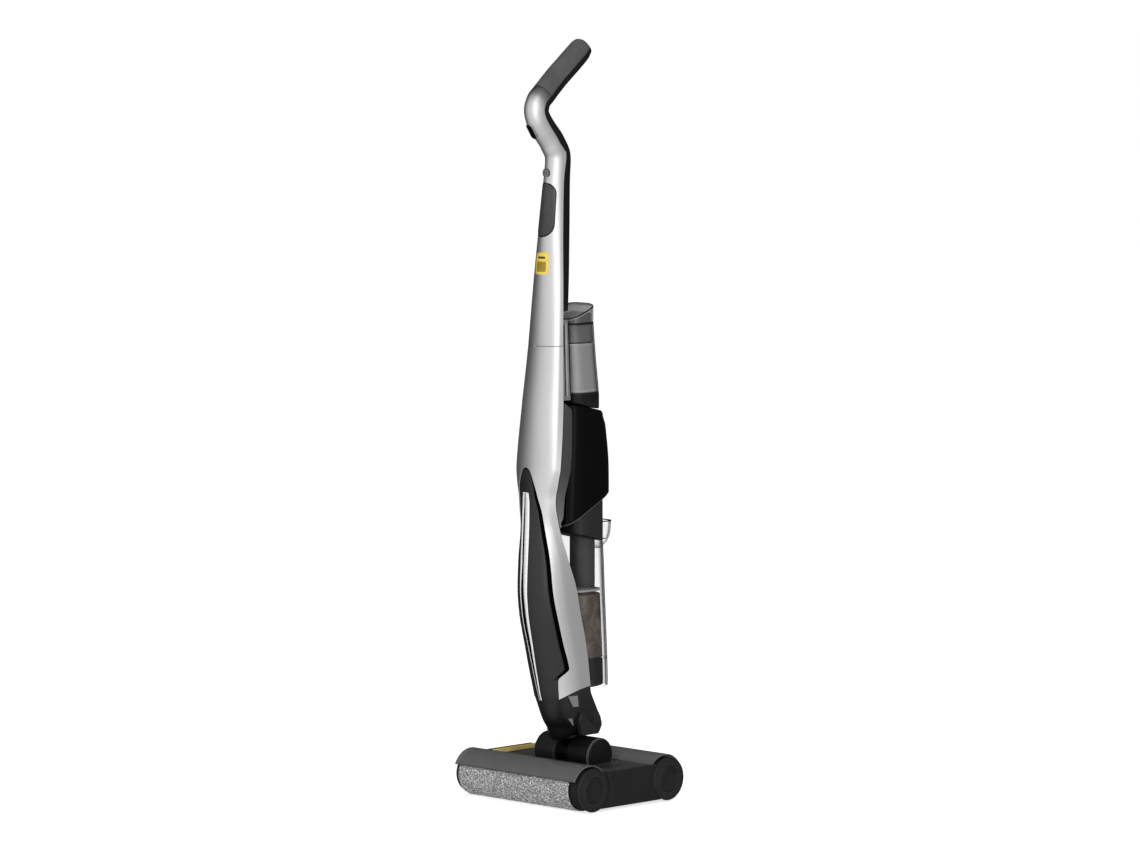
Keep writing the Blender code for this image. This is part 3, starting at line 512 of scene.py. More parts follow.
def circle(axis, place, centre, radius, count=64):
    points = []
    for i in range(count):
        angle = 2 * math.pi * i / count
        first = centre[0] + radius * math.cos(angle)
        second = centre[1] + radius * math.sin(angle)
        points.append((place, first, second) if axis == "X" else (first, second, place))
    return points


def turned(axis, centre, stations, count=64, closed=False, mesh=None):
    return loft([circle(axis, place, centre, radius, count) for place, radius in stations], closed, mesh)


def rounded_ring(z, front, rear, half, count=64, power=0.45, base=None, slope=0.0):
    """A rounded rectangle in plan, level or on the slanted plane base + slope * y."""
    middle, reach = (front + rear) / 2, (rear - front) / 2
    points = []
    for i in range(count):
        angle = 2 * math.pi * (i + 0.5) / count
        c, s = math.cos(angle), math.sin(angle)
        x = half * math.copysign(abs(c) ** power, c)
        y = middle + reach * math.copysign(abs(s) ** power, s)
        points.append((x, y, z if base is None else base + slope * y))
    return points


def table_ring(table, z, shrink=0.0, power=0.45, base=None, slope=0.0, count=64):
    front, rear, half = smooth(table, z)
    return rounded_ring(z, front + shrink, rear - shrink, half - shrink, count, power, base, slope)


def tube(path, radius, count=12, closed=False):
    """A round tube along a path of points in millimetres."""
    points = [Vector(p) for p in path]
    rings = []
    total = len(points)
    for i, point in enumerate(points):
        before = points[i - 1] if closed or i else point
        after = points[(i + 1) % total] if closed or i < total - 1 else point
        along = (after - before).normalized()
        side = along.cross(Vector((0.0, 0.0, 1.0)))
        side = side.normalized() if side.length > 1e-3 else Vector((1.0, 0.0, 0.0))
        up = side.cross(along)
        ring = []
        for k in range(count):
            turn = 2 * math.pi * k / count
            ring.append(point + (side * math.cos(turn) + up * math.sin(turn)) * radius)
        rings.append(ring)
    return loft(rings, closed)


def plate(outline, low, high):
    """A flat plate with an outline in Y and Z, between two X places."""
    return loft([[(x, y, z) for y, z in outline] for x in (low, high)])


# ---------------------------------------------------------------- upright shell


def shell_point(z, angle, offset=0.0, creased=False):
    """A point of the upright's front surface. A creased shell has a flat bevel along its rear edge."""
    edge, front, half, power = smooth(SHELL_STATIONS, z)
    half -= offset

    def curve(at):
        turn = math.radians(at)
        depth = (front + offset - edge) * max(math.cos(turn), 0.0) ** power
        return half * math.sin(turn), edge + depth

    x, y = curve(angle)
    crease = float(smooth(CREASE_STATIONS, z)[0]) if creased else 90.0
    if abs(angle) > crease:
        side = math.copysign(1.0, angle)
        share = (abs(angle) - crease) / (90.0 - crease)
        near, far = curve(side * crease), curve(side * 90.0)
        x, y = (a + (b - a) * share for a, b in zip(near, far))
    return x, y, z


def creased_angles(z, start, steps, end=90.0):
    crease = float(smooth(CREASE_STATIONS, z)[0])
    return [*np.linspace(start, crease, steps), *np.linspace(crease, end, 4)[1:]]


def full_row(z, offset):
    right = creased_angles(z, 0.0, 22)
    angles = [-a for a in right[:0:-1]] + right
    return [shell_point(z, a, offset, True) for a in angles]


def leg_row(z, side, offset):
    start = float(smooth(LEG_STATIONS, z)[0])
    sink = 17.0 * np.clip((196.0 - z) / 45.0, 0.0, 1.0)
    points = []
    for angle in creased_angles(z, start, 22):
        share = (angle - start) / (90.0 - start)
        points.append(shell_point(z + sink * share, side * angle, offset, True))
    return points if side > 0 else points[::-1]


def make_silver_body():
    wall = 2.2
    upper = [492.0, *np.linspace(497.0, 666.8, 32)]
    mesh = sheet([full_row(z, 0.0) for z in upper], [full_row(z, wall) for z in upper], open_start=True)
    lower = [492.0, 491.7, 491.2, 490.5, 489.5, 488.0, 486.0, 483.0]
    lower += [*np.linspace(479.0, 205.0, 56), *np.linspace(200.0, 176.0, 13), *np.linspace(173.0, 151.0, 9)]
    for side in (-1, 1):
        grids = [[leg_row(z, side, offset) for z in lower] for offset in (0.0, wall)]
        sheet(*grids, mesh=mesh, open_start=True)
    piece("silver_body", mesh, SILVER, "upright", ("body_shell",), 0.5, 26.0)


def make_leg_gaps():
    """Black shadow line between each leg and the belly."""
    for name, side in SIDES:
        grids = []
        for offset in (2.6, 3.4):
            rows = []
            for z in np.linspace(486.0, 184.0, 70):
                start = float(smooth(LEG_STATIONS, z)[0])
                spread = gap_angle(z) + 3.0
                angles = np.linspace(start - spread, start + 1.0, 5)
                rows.append([shell_point(z, side * a, offset) for a in angles])
            grids.append(rows)
        piece(f"leg_gap_{name}", sheet(*grids), GAP_SHADOW, "upright", bevel=0.2)


def gap_angle(z):
    """How far the belly's raised face stays away from the legs, in degrees."""
    return 240.0 / smooth(SHELL_STATIONS, z)[2] * np.clip((492.0 - z) / 40.0, 0.15, 1.0)


def belly_row(z, proud, base):
    """Raised between the legs, and lower beneath them."""
    start = float(smooth(LEG_STATIONS, z)[0])
    edge = start - gap_angle(z) if z > 176.0 else 89.0
    edge = max(edge, 1.0)
    slope = min(edge * 0.4, 2.0)
    right = [*[(a, proud) for a in np.linspace(0.0, edge - slope, 24)], (edge - slope / 2, proud + 0.3)]
    right += [(edge, max(proud + 1.2, base) if edge < 88.0 else proud)]
    right += [(a, base if edge < 88.0 else proud) for a in np.linspace(edge, 89.0, 12)[1:]]
    row = [(-a, offset) for a, offset in right[:0:-1]] + right
    return [shell_point(z, a, offset) for a, offset in row]


def make_belly():
    heights = [*np.linspace(181.0, 190.0, 6), *np.linspace(194.0, 489.0, 84)]
    outer = [belly_row(z, 1.1, 3.2) for z in heights]
    inner = [belly_row(z, 5.0, 5.2) for z in heights]
    piece("belly_front", sheet(outer, inner), BELLY, "upright", ("belly_shell",), 0.2)


def strip_point(z, x, lift):
    """A point on the belly's front, lift millimetres proud of it."""
    edge, front, half, power = smooth(SHELL_STATIONS, z)
    half -= 1.1
    share = max(1.0 - (x / half) ** 2, 0.0) ** (power / 2)
    settle = 0.125 * max(160.0 - z, 0.0)
    return x, edge + (front + 1.1 - edge) * share - lift + settle, z


def make_belly_strip():
    """Plated frame, open at the bottom, round a black core down the belly's ridge."""
    top = 456.0
    left_rail = (
        (150.0, 0.3), (220.0, 0.6), (270.0, 0.8), (310.0, 2.0),
        (360.0, 4.2), (440.0, 4.6), (456.0, 3.6),
    )
    right_rail = (
        (150.0, 1.6), (190.0, 2.2), (230.0, 3.4), (300.0, 5.4),
        (350.0, 6.8), (440.0, 7.0), (456.0, 5.0),
    )
    widths = (
        (150.0, 1.9), (200.0, 3.6), (270.0, 6.0), (350.0, 7.2),
        (400.0, 7.4), (440.0, 6.8), (454.0, 5.4), (456.0, 4.6),
    )
    heights = [*np.linspace(149.0, top - 2.0, 72), top - 1.4, top - 0.8, top]

    def half(z):
        return float(smooth(widths, z)[0])

    grids = []
    for lift in (0.35, -0.6):
        grids.append([[strip_point(z, x, lift) for x in np.linspace(-half(z) + 1, half(z) - 1, 7)] for z in heights])
    piece("strip_core", sheet(*grids), GLOSS_BLACK, "upright", bevel=0.2)
    for name, side in SIDES:
        grids = []
        for level in (0, 1):
            rows = []
            for z in heights:
                width = float(smooth(left_rail if side < 0 else right_rail, z)[0])
                places = np.linspace(side * half(z), side * (half(z) - width), 6)
                crown = (0.5, 1.1, 1.25, 1.25, 1.1, 0.5) if level == 0 else (-0.4,) * 6
                rows.append([strip_point(z, x, c) for x, c in zip(places, crown)])
            grids.append(rows)
        stands = ("belly_strip",) if side > 0 else ()
        piece(f"strip_rail_{name}", sheet(*grids), CHROME, "upright", stands, 0.15, 60.0)
    grids = []
    for lift in (1.25, -0.4):
        rows = [[strip_point(z, x, lift) for x in np.linspace(-half(z), half(z), 9)] for z in (top - 2.2, top)]
        grids.append(rows)
    piece("strip_cap", sheet(*grids), CHROME, "upright", bevel=0.3)


# ---------------------------------------------------------------- handle


def handle_frame(at):
    rows = [(i, *row) for i, row in enumerate(HANDLE_STATIONS)]
    y, z, tilt, depth, half, strip, strip_half, power = smooth(rows, at)
    turn = math.radians(tilt)
    return y, z, (-math.cos(turn), math.sin(turn)), depth, half, strip, strip_half, power


def handle_point(at, angle, lift=0.0, crease=90.0):
    y, z, forward, depth, half, _, _, power = handle_frame(at)

    def curve(place):
        turn = math.radians(place)
        return (half + lift) * math.sin(turn), (depth + lift) * max(math.cos(turn), 0.0) ** power

    x, reach = curve(angle)
    if abs(angle) > crease:
        side = math.copysign(1.0, angle)
        share = (abs(angle) - crease) / (90.0 - crease)
        near, far = curve(side * crease), curve(side * 90.0)
        x, reach = (a + (b - a) * share for a, b in zip(near, far))
    return x, y + forward[0] * reach, z + forward[1] * reach


def handle_row(at, lift=0.0, crease=90.0):
    right = [*np.linspace(0.0, crease, 22)]
    if crease < 90.0:
        right += [*np.linspace(crease, 90.0, 4)[1:]]
    angles = [-a for a in right[:0:-1]] + right
    return [handle_point(at, a, lift, crease) for a in angles]


def make_silver_handle():
    places = np.linspace(0.0, SILVER_TOP, 110)
    grids = [[handle_row(at, lift, HANDLE_CREASE) for at in places] for lift in (0.0, -2.2)]
    piece("silver_handle", sheet(*grids), SILVER_PAINTED_REFLECTION, "upright", ("handle_shell",), 0.35, 24.0)


def make_grip():
    places = [SILVER_TOP + 0.03, *np.linspace(10.15, 15.0, 60)]
    rings = [handle_row(at, 0.0, HANDLE_CREASE) for at in places]
    piece("rubber_grip", loft(rings), RUBBER, "upright", ("grip",), 0.8, 28.0)


def make_side_bands():
    """Black band along both sides of the bend and the grip, where they meet the back strip."""
    places = [*np.linspace(4.3, 10.0, 60), *np.linspace(10.1, 14.9, 44)]
    for name, side in SIDES:
        grids = []
        for lift in (0.22, -0.5):
            rows = []
            for at in places:
                start = 79.0 + 8.0 * max(0.0, (5.0 - at) / 0.7)
                rows.append([handle_point(at, side * a, lift) for a in np.linspace(start, 90.0, 6)])
            grids.append(rows)
        piece(f"side_band_{name}", sheet(*grids), BLACK, "upright", bevel=0.15, angle=40.0)


def back_arc(at, steps=20):
    y, z, forward, _, _, strip, half, _ = handle_frame(at)
    points = []
    for turn in np.linspace(-math.pi / 2, math.pi / 2, steps + 1):
        reach = -0.4 - (strip - 0.4) * max(math.cos(turn), 0.0) ** 0.35
        points.append((half * math.sin(turn), y + forward[0] * reach, z + forward[1] * reach))
    return points


def make_back_strip():
    places = [*np.linspace(STRIP_START, 10.0, 90), *np.linspace(10.1, 15.0, 40)]
    piece("spine_strip", loft([back_arc(at) for at in places]), BLACK, "upright", ("back_strip",), 0.4)


def station_at(height):
    """The handle station on the straight stem whose joint line lies at this height."""
    heights = [row[1] for row in HANDLE_STATIONS[:5]]
    return float(np.interp(height, heights, range(5)))


def wrapped_patch(low, high, left, right, lift, thick, corner, rows=48, columns=25, flare=0.0):
    """A patch with rounded corners on the stem's front, between two heights and two angles."""
    middle, reach = (left + right) / 2, (right - left) / 2
    tall = (high - low) / 2
    grids = []
    for level in (lift, lift - thick):
        grid = []
        for height in np.linspace(low, high, rows):
            near = abs(height - (low + high) / 2) - (tall - corner)
            share = 1.0 - (near / corner) ** 2 if near > 0 else 1.0
            inset = (1.0 - math.sqrt(max(share, 0.0))) * min(1.0, corner / (reach * 0.36))
            width = (reach + flare * (height - low) / (high - low)) * max(1.0 - inset, 0.04)
            angles = np.linspace(middle - width, middle + width, columns)
            grid.append([handle_point(station_at(height), a, level) for a in angles])
        grids.append(grid)
    return sheet(*grids)


def make_stem_details():
    mesh = wrapped_patch(823.0, 898.0, -49.0, 49.0, 0.25, 0.9, 19.0, flare=8.0)
    piece("lens_surround", mesh, BLACK, "upright", bevel=0.25)
    mesh = wrapped_patch(825.4, 895.8, -45.5, 45.5, 0.6, 0.9, 17.5, flare=7.5)
    piece("display_window", mesh, LENS, "upright", ("display_lens",), 0.35)
    mesh = wrapped_patch(770.0, 801.0, -20.0, 33.0, 0.3, 0.5, 4.0)
    piece("care_label", mesh, LABEL, "upright", bevel=0.1)
    bars = ((792.6, 795.8, -8.0, 22.0), (774.0, 788.6, -12.0, 25.0))
    for i, (low, high, left, right) in enumerate(bars):
        mesh = wrapped_patch(low, high, left, right, 0.42, 0.3, 0.8, 8, 7)
        piece(f"label_block_{i}", mesh, DARK_GREY if i == 0 else OCHRE, "upright")


def plug(centre, normal, radius, stations, stretch=1.0, count=40):
    """A turned shape along a normal in the YZ plane: stations are (height, share of the radius)."""
    along = (normal[1], -normal[0])
    rings = []
    for out, size in stations:
        ring = []
        for i in range(count):
            turn = 2 * math.pi * i / count
            up = radius * size * math.sin(turn)
            up += math.copysign(radius * (stretch - 1.0), up) if stretch > 1 else 0.0
            y = centre[0] + along[0] * up + normal[0] * out
            z = centre[1] + along[1] * up + normal[1] * out
            ring.append((radius * size * math.cos(turn), y, z))
        rings.append(ring)
    return rings


def make_buttons():
    for name, at in (("power", 3.1), ("mode", 6.45)):
        y, z, forward, depth, *_ = handle_frame(at)
        face = (y + forward[0] * depth, z + forward[1] * depth)
        if name == "power":
            ring = [(-1.5, 1.26), (0.55, 1.26), (0.75, 1.18), (0.55, 1.04), (-1.5, 1.04)]
            piece("power_ring", loft(plug(face, forward, 5.4, ring), True), CHEEK, "upright")
            dome = [(-4.0, 1.0), (0.5, 1.0), (0.85, 0.93), (0.98, 0.7), (0.9, 0.3)]
            mesh = loft(plug(face, forward, 5.2, dome))
            piece("power_cap", mesh, GREY, "power_key", ("power_button",))
            mark = [(0.92, 0.5), (1.2, 0.5), (1.2, 0.34), (0.92, 0.34)]
            piece("power_mark", loft(plug(face, forward, 5.2, mark), True), BLACK, "power_key")
        else:
            ring = [(-3.0, 1.32), (0.7, 1.32), (1.1, 1.22), (0.8, 1.06), (-3.0, 1.06)]
            mesh = loft(plug(face, forward, 4.6, ring, 2.6), True)
            piece("slot_surround", mesh, BEVEL_GREY, "upright")
            dome = [(-4.0, 1.0), (0.7, 1.0), (1.2, 0.9), (1.4, 0.6)]
            mesh = loft(plug(face, forward, 4.6, dome, 2.6))
            piece("slot_button", mesh, GLOSS_BLACK, "mode_key", ("mode_button",))


# ---------------------------------------------------------------- cheeks, housing and dock


def make_cheeks():
    for name, side in SIDES:
        grids = []
        for inset in (0.2, 3.0):
            rows = []
            for z in np.linspace(404.0, 584.0, 60):
                edge, _, half, _ = smooth(SHELL_STATIONS, z)
                front = edge + 1.4
                rear = max(float(smooth(CHEEK_REAR, z)[0]), front + 2.0)
                row = []
                for share in np.linspace(0.0, 1.0, 9):
                    grow = 1.2 * math.sin(share * math.pi / 2)
                    row.append((side * (half - inset + grow), front + (rear - front) * share, z))
                rows.append(row)
            grids.append(rows)
        piece(f"cheek_panel_{name}", sheet(*grids), CHEEK_SIDE, "upright", (f"cheek_{name}",), 0.6)


def make_housing():
    base, under, top, fall = 425.0, 0.52, 576.0, -0.213
    rings = [table_ring(HOUSING, 448.0, 5.0, 0.5, base - 0.4, under, 96)]
    rings.append(table_ring(HOUSING, 448.0, 1.4, 0.5, base, under, 96))
    rings.append(table_ring(HOUSING, 452.0, 0.2, 0.5, base + 1.6, under, 96))
    rings.append(table_ring(HOUSING, 456.0, 0.0, 0.5, base + 5.0, under, 96))
    rings += [table_ring(HOUSING, z, 0.0, 0.5, count=96) for z in np.linspace(482.0, 548.0, 12)]
    for drop, shrink in ((8.0, 0.1), (4.0, 0.5), (1.6, 1.4), (0.4, 2.8), (0.0, 4.4)):
        rings.append(table_ring(HOUSING, 574.0, shrink, 0.5, top - drop, fall, 96))
    piece("motor_cover", loft(rings), GLOSS_BLACK, "upright", ("motor_housing",), angle=50.0)
    # A grey tube round the cover's lower edge, a painted highlight.
    rim = [Vector(p) * 1.0 for p in table_ring(HOUSING, 448.0, 0.5, 0.5, base + 0.2, under, 96)]
    piece("cover_rim_highlight", tube(rim, 0.7, 8, True), CHEEK, "upright")


def make_dock():
    rows = ((588.0, -45.5, 34.0), (630.0, -43.0, 31.0), (668.0, -40.5, 28.5), (704.0, -38.0, 26.5))
    rings = []
    for z in np.linspace(588.0, 704.0, 24):
        front, half = smooth(rows, z)
        rings.append(rounded_ring(z, front, -27.6, half, 72, 0.3))
    piece("dock_post", loft(rings), GREY, "upright", ("dock_column",), 0.6)
    # Strips on each side of the post are painted light and shade: a black painted shadow, a light grey painted
    # highlight and a black painted shade line towards the rear.
    for name, first, width, lift, made in (
        ("dock_shadow", -39.6, 1.6, 0.25, BLACK),
        ("dock_highlight", -36.6, 2.0, 0.5, LIGHT_GREY),
        ("dock_edge_shade", -30.2, 1.8, 0.3, BLACK),
    ):
        for side_name, side in SIDES:
            grids = []
            for level in (lift, -0.8):
                grid = []
                for z in np.linspace(594.0, 698.0, 16):
                    half = smooth(rows, z)[1]
                    start = first + 0.03 * (z - 640.0)
                    grid.append([(side * (half + level), start + w, z) for w in (0.0, width / 2, width)])
                grids.append(grid)
            piece(f"{name}_{side_name}", sheet(*grids), made, "upright", bevel=0.15)


# ---------------------------------------------------------------- neck and joint


def neck_ring(z, offset, steps=60):
    return [shell_point(z, a, offset) for a in np.linspace(-90.0, 90.0, steps)]


def skirt_floor(x, y):
    """Lowest height that stays clear of the joint's barrel through the whole swivel."""
    reach = math.hypot(x, y - PIVOT_Y)
    turned_by = math.atan2(abs(y - PIVOT_Y), abs(x) + 1e-6) - math.radians(36.0)
    across = reach * math.sin(max(turned_by, 0.0)) if y < PIVOT_Y else 0.0
    return max(PIVOT_Z + 1.4 + math.sqrt(max(EAR_RADIUS**2 - across**2, 0.0)), 86.0)


def make_neck():
    rings = []
    for lift, offset in ((6.0, 19.0), (2.0, 14.0), (1.4, 10.6), (3.4, 9.4), (6.0, 8.6), (9.0, 8.0)):
        ring = neck_ring(94.0 + lift, offset)
        rings.append([(x, y, skirt_floor(x, y) + lift) for x, y, _ in ring])
    taper = ((106.0, 7.2), (113.0, 6.2), (127.0, 5.2), (140.0, 3.8), (160.0, 1.3), (181.0, 1.1))
    rings += [neck_ring(z, float(smooth(taper, z)[0])) for z in np.linspace(106.0, 180.9, 30)]
    piece("neck_cover", loft(rings), BELLY, "upright", ("neck_shell",), 0.4, 40.0)
    outline = [(-8.5, 129.0), (-13.5, 117.0), (-6.0, 95.0), (27.0, 95.0), (24.0, 103.0)]
    tabs = ((139.0, 155.5, 61.0, 76.0), (111.0, 121.5, 56.0, 64.0))
    for name, side in SIDES:
        low, high = sorted((side * 26.0, side * 34.6))
        piece(f"neck_panel_{name}", plate(outline, low, high), CHARCOAL, "upright", bevel=1.2)
        for i, (low, high, first, last) in enumerate(tabs):
            grids = []
            for offset in (1.0 if i == 0 else 4.2, 6.4):
                rows = []
                for z in np.linspace(low, high, 8):
                    lean = 6.0 * (high - z) / (high - low)
                    angles = np.linspace(first + lean, last, 6)
                    rows.append([shell_point(z, side * a, offset) for a in angles])
                grids.append(rows)
            piece(f"neck_tab_{name}_{i}", sheet(*grids), GREY, "upright", bevel=0.4)


def make_boot():
    rings = []
    for z in np.linspace(94.2, 156.0, 120):
        rear = float(smooth(BOOT, z)[0])
        rib = 1.1 * (0.5 + 0.5 * math.sin((z - 94.0) * 2 * math.pi / 2.6)) if z < 112.0 else 0.0
        neck = smooth(SHELL_STATIONS, z)
        front = neck[0] - 1.5
        half = min(27.0, neck[2] - 4.0)
        ring = []
        for x, y, _ in rounded_ring(z, front, rear + rib - 1.0, half + rib, 72, 0.5):
            room = (37.0 + 0.43 * (z - 94.0)) / math.hypot(x, y - PIVOT_Y)
            inside = min(room, 1.0)
            ring.append((x * inside, PIVOT_Y + (y - PIVOT_Y) * inside, z))
        rings.append(ring)
    piece("duct_bellows", loft(rings), SOFT_RUBBER, "upright", ("duct_boot",), angle=50.0)


def make_joint():
    for name, side in SIDES:
        stations = [(14.4, 0.4), (14.4, 25.6), (15.2, 26.6), (16.6, EAR_RADIUS), (34.0, EAR_RADIUS)]
        for turn in range(0, 91, 15):
            angle = math.radians(turn)
            stations.append((52.3 + 3.0 * math.sin(angle), 24.0 + 3.0 * math.cos(angle)))
        stations += [(55.3, 22.6), (54.7, 22.2), (54.7, 21.4), (55.1, 21.0), (55.1, 20.0), (55.1, 0.4)]
        mesh = turned("X", (PIVOT_Y, PIVOT_Z), [(side * p, r) for p, r in stations], 96)
        bmesh.ops.recalc_face_normals(mesh, faces=mesh.faces)
        made = CHARCOAL if side < 0 else BLACK
        # A thin grey ring round the edge of each ear's end face, a painted highlight of its bevel.
        rim = [(side * p, r) for p, r in ((55.2, 25.2), (54.4, 26.0), (53.8, 26.7), (53.8, 24.5))]
        mesh_rim = turned("X", (PIVOT_Y, PIVOT_Z), rim, 96, True)
        piece(f"ear_rim_highlight_{name}", mesh_rim, GREY, "head", angle=50.0)
        piece(f"ear_cover_{name}", mesh, made, "head", (f"joint_ear_{name}",), angle=50.0)
        low, high = sorted((side * 20.0, side * 44.0))
        outline = [(-12.0, 16.5), (-10.0, 56.0), (26.0, 56.0), (29.0, 16.5)]
        piece(f"ear_foot_{name}", plate(outline, low, high), BLACK, "head", bevel=2.0)
    stations = [(-13.6, 0.4), (-13.6, 23.0), (-12.6, 24.6), (-10.4, 25.4)]
    stations += [(p, 25.4 - 0.5 * math.cos(p / 10.4 * math.pi / 2)) for p in np.linspace(-9.0, 9.0, 9)]
    stations += [(10.4, 25.4), (12.6, 24.6), (13.6, 23.0), (13.6, 0.4)]
    mesh = turned("X", (PIVOT_Y, PIVOT_Z), stations, 96)
    piece("yoke_barrel", mesh, GLOSS_BLACK, "yoke", ("swivel_yoke",), angle=50.0)
    collar = [(80.0, 4.0), (80.0, 12.0), (92.4, 12.0), (93.2, 11.2)]
    collar += [(93.2, 8.8), (108.0, 8.8), (110.0, 7.0), (110.0, 1.0)]
    piece("yoke_stub", turned("Z", (0.0, PIVOT_Y), collar, 48), BLACK, "yoke", angle=40.0)


# ---------------------------------------------------------------- tanks


def make_clean_tank():
    body = "clean_tank_body"
    outer = [table_ring(CLEAN_TANK, z, 0.0, 0.6) for z in np.linspace(597.0, 698.0, 24)]
    inner = [table_ring(CLEAN_TANK, z, 1.6, 0.6) for z in np.linspace(698.0, 597.4, 24)]
    piece("clean_cup", loft(outer + inner, True), CLEAR, body, ("clean_tank",), angle=50.0)
    base = [table_ring(CLEAN_TANK, 585.0, 1.6, 0.6, 577.9, TANK_SEAT)]
    base.append(table_ring(CLEAN_TANK, 587.0, 0.2, 0.6, 579.4, TANK_SEAT))
    base += [table_ring(CLEAN_TANK, z, 0.0, 0.6) for z in (591.5, 594.0, 596.2)]
    base.append(table_ring(CLEAN_TANK, 596.7, 1.0, 0.6))
    piece("clean_base", loft(base), BLACK, body, ("clean_tank_base",), angle=45.0)
    fill = [table_ring(CLEAN_TANK, z, 2.1, 0.6) for z in np.linspace(599.0, 665.0, 12)]
    piece("clean_water", loft(fill), WATER, body, bevel=0.8)
    # A light grey band at the water's top, a painted highlight of the water surface.
    band = [table_ring(CLEAN_TANK, z, s, 0.6) for z, s in ((664.5, 1.9), (668.4, 1.9), (668.4, 3.4), (664.5, 3.4))]
    piece("water_surface_highlight", loft(band, True), LIGHT_GREY, body, bevel=0.4)
    rim = [table_ring(CLEAN_TANK, z, s, 0.6) for z, s in ((597.4, 2.0), (601.5, 2.0), (601.5, 4.0), (597.4, 4.0))]
    piece("tank_floor_ring", loft(rim, True), LIGHT_GREY, body, bevel=0.5)
    liner = [table_ring(CLEAN_TANK, z, s, 0.6) for z, s in ((670.0, 2.0), (695.5, 2.0), (695.5, 3.6), (670.0, 3.6))]
    piece("tank_liner", loft(liner, True), LINER, body, bevel=0.4)
    neck = [table_ring(CLEAN_TANK, z, s, 0.6) for z, s in ((695.6, -0.1), (697.9, -0.1), (697.9, 4.0), (695.6, 4.0))]
    piece("tank_rim", loft(neck, True), BLACK, body, bevel=0.4)


def make_clean_lid():
    def ring(shrink, lift):
        return rounded_ring(0.0, -24.6 + shrink, 28.5 - shrink, 32.3 - shrink, 72, 0.6, 713.4 + lift, 0.385)

    def level(z, shrink):
        return rounded_ring(z, -24.6 + shrink, 28.5 - shrink, 32.3 - shrink, 72, 0.6)

    skirt = [level(698.5, 0.0), ring(0.0, -0.6), ring(1.8, -0.6), level(698.5, 1.8)]
    piece("lid_skirt", loft(skirt, True), SMOKED, "clean_lid", ("clean_tank_lid",), 0.3)
    filling = [level(698.8, 3.2), ring(3.2, -11.5)]
    piece("lid_filter", loft(filling), PAD, "clean_lid", bevel=0.8)
    rim = ring(1.05, -0.5)
    piece("lid_rim", tube(rim, 1.05, 10, True), BLACK, "clean_lid")
    line = ring(0.5, -2.6)
    piece("lid_light_line", tube(line, 0.6, 8, True), LIGHT_GREY, "clean_lid")
    pane = [ring(1.4, -0.9), ring(1.4, 0.1), ring(2.4, 0.5)]
    piece("lid_pane", loft(pane), PANE, "clean_lid", angle=50.0)


# Height at the machine's middle, slope towards the rear and radius
SEPARATOR_RINGS = (
    (309.0, 0.0, 18.4),
    (346.0, 0.0, 18.4),
    (386.3, -0.25, 18.4),
    (386.3, -0.25, 16.4),
    (309.0, 0.0, 16.4),
)


def tilted_circle(z, slope, radius, count=56):
    points = []
    for i in range(count):
        turn = 2 * math.pi * i / count
        y = 27.0 + radius * math.sin(turn)
        points.append((radius * math.cos(turn), y, z + slope * y))
    return points


def make_dirty_tank():
    body = "dirty_tank"
    rim = 386.5
    levels = list(np.linspace(205.6, 352.0, 26))
    outer = [table_ring(DIRTY_TANK, z, 0.0, 0.55) for z in levels]
    outer.append(table_ring(DIRTY_TANK, 385.0, 0.0, 0.55, rim, -0.25))
    inner = [table_ring(DIRTY_TANK, 385.0, 1.8, 0.55, rim, -0.25)]
    inner += [table_ring(DIRTY_TANK, z, 1.8, 0.55) for z in levels[::-1]]
    piece("dirty_cup_wall", loft(outer + inner, True), CLEAR, body, ("dirty_cup",), angle=50.0)
    base = [table_ring(DIRTY_TANK, 168.0, 8.0, 0.55, 161.0, 0.1)]
    base.append(table_ring(DIRTY_TANK, 169.0, 6.2, 0.55, 162.2, 0.1))
    base += [table_ring(DIRTY_TANK, z, 6.0, 0.55) for z in (174.0, 188.0, 203.0)]
    base.append(table_ring(DIRTY_TANK, 204.9, 7.0, 0.55))
    piece("dirty_base", loft(base), CHARCOAL, body, ("dirty_tank_base",), angle=45.0)
    sleeve = [table_ring(DIRTY_TANK, 168.0, 0.3, 0.55, 160.4, 0.1)]
    sleeve += [table_ring(DIRTY_TANK, z, 0.0, 0.55) for z in (174.0, 190.0, 204.9)]
    sleeve += [table_ring(DIRTY_TANK, z, 1.9, 0.55) for z in (204.9, 190.0, 174.0)]
    sleeve.append(table_ring(DIRTY_TANK, 168.0, 2.0, 0.55, 160.4, 0.1))
    piece("base_sleeve", loft(sleeve, True), CLEAR, body, angle=45.0)
    fill = [table_ring(DIRTY_TANK, z, 6.2, 0.55) for z in np.linspace(206.4, 300.0, 16)]
    fill.append(table_ring(DIRTY_TANK, 301.0, 7.4, 0.55))
    piece("dirty_water", loft(fill), LIQUID, body, angle=45.0)
    ring = [table_ring(DIRTY_TANK, z, s, 0.55) for z, s in ((304.5, 6.0), (308.0, 6.0), (308.0, 10.0), (304.5, 10.0))]
    piece("level_ring", loft(ring, True), LIGHT_GREY, body, bevel=0.6)
    tube_wall = [tilted_circle(z, slope, radius) for z, slope, radius in SEPARATOR_RINGS]
    piece("separator_wall", loft(tube_wall, True), DARK_GREY, body, ("separator_tube",), 0.5)
    lid = [table_ring(DIRTY_TANK, 392.0, 0.9, 0.55, rim + 0.5, -0.25)]
    lid.append(table_ring(DIRTY_TANK, 392.0, 0.0, 0.55, rim + 1.4, -0.25))
    lid.append(table_ring(DIRTY_TANK, 400.0, 0.0, 0.55, 423.0, 0.52))
    lid.append(table_ring(DIRTY_TANK, 400.0, 1.0, 0.55, 423.6, 0.52))
    piece("dirty_lid", loft(lid), BLACK, body, ("dirty_tank_lid",), angle=45.0)


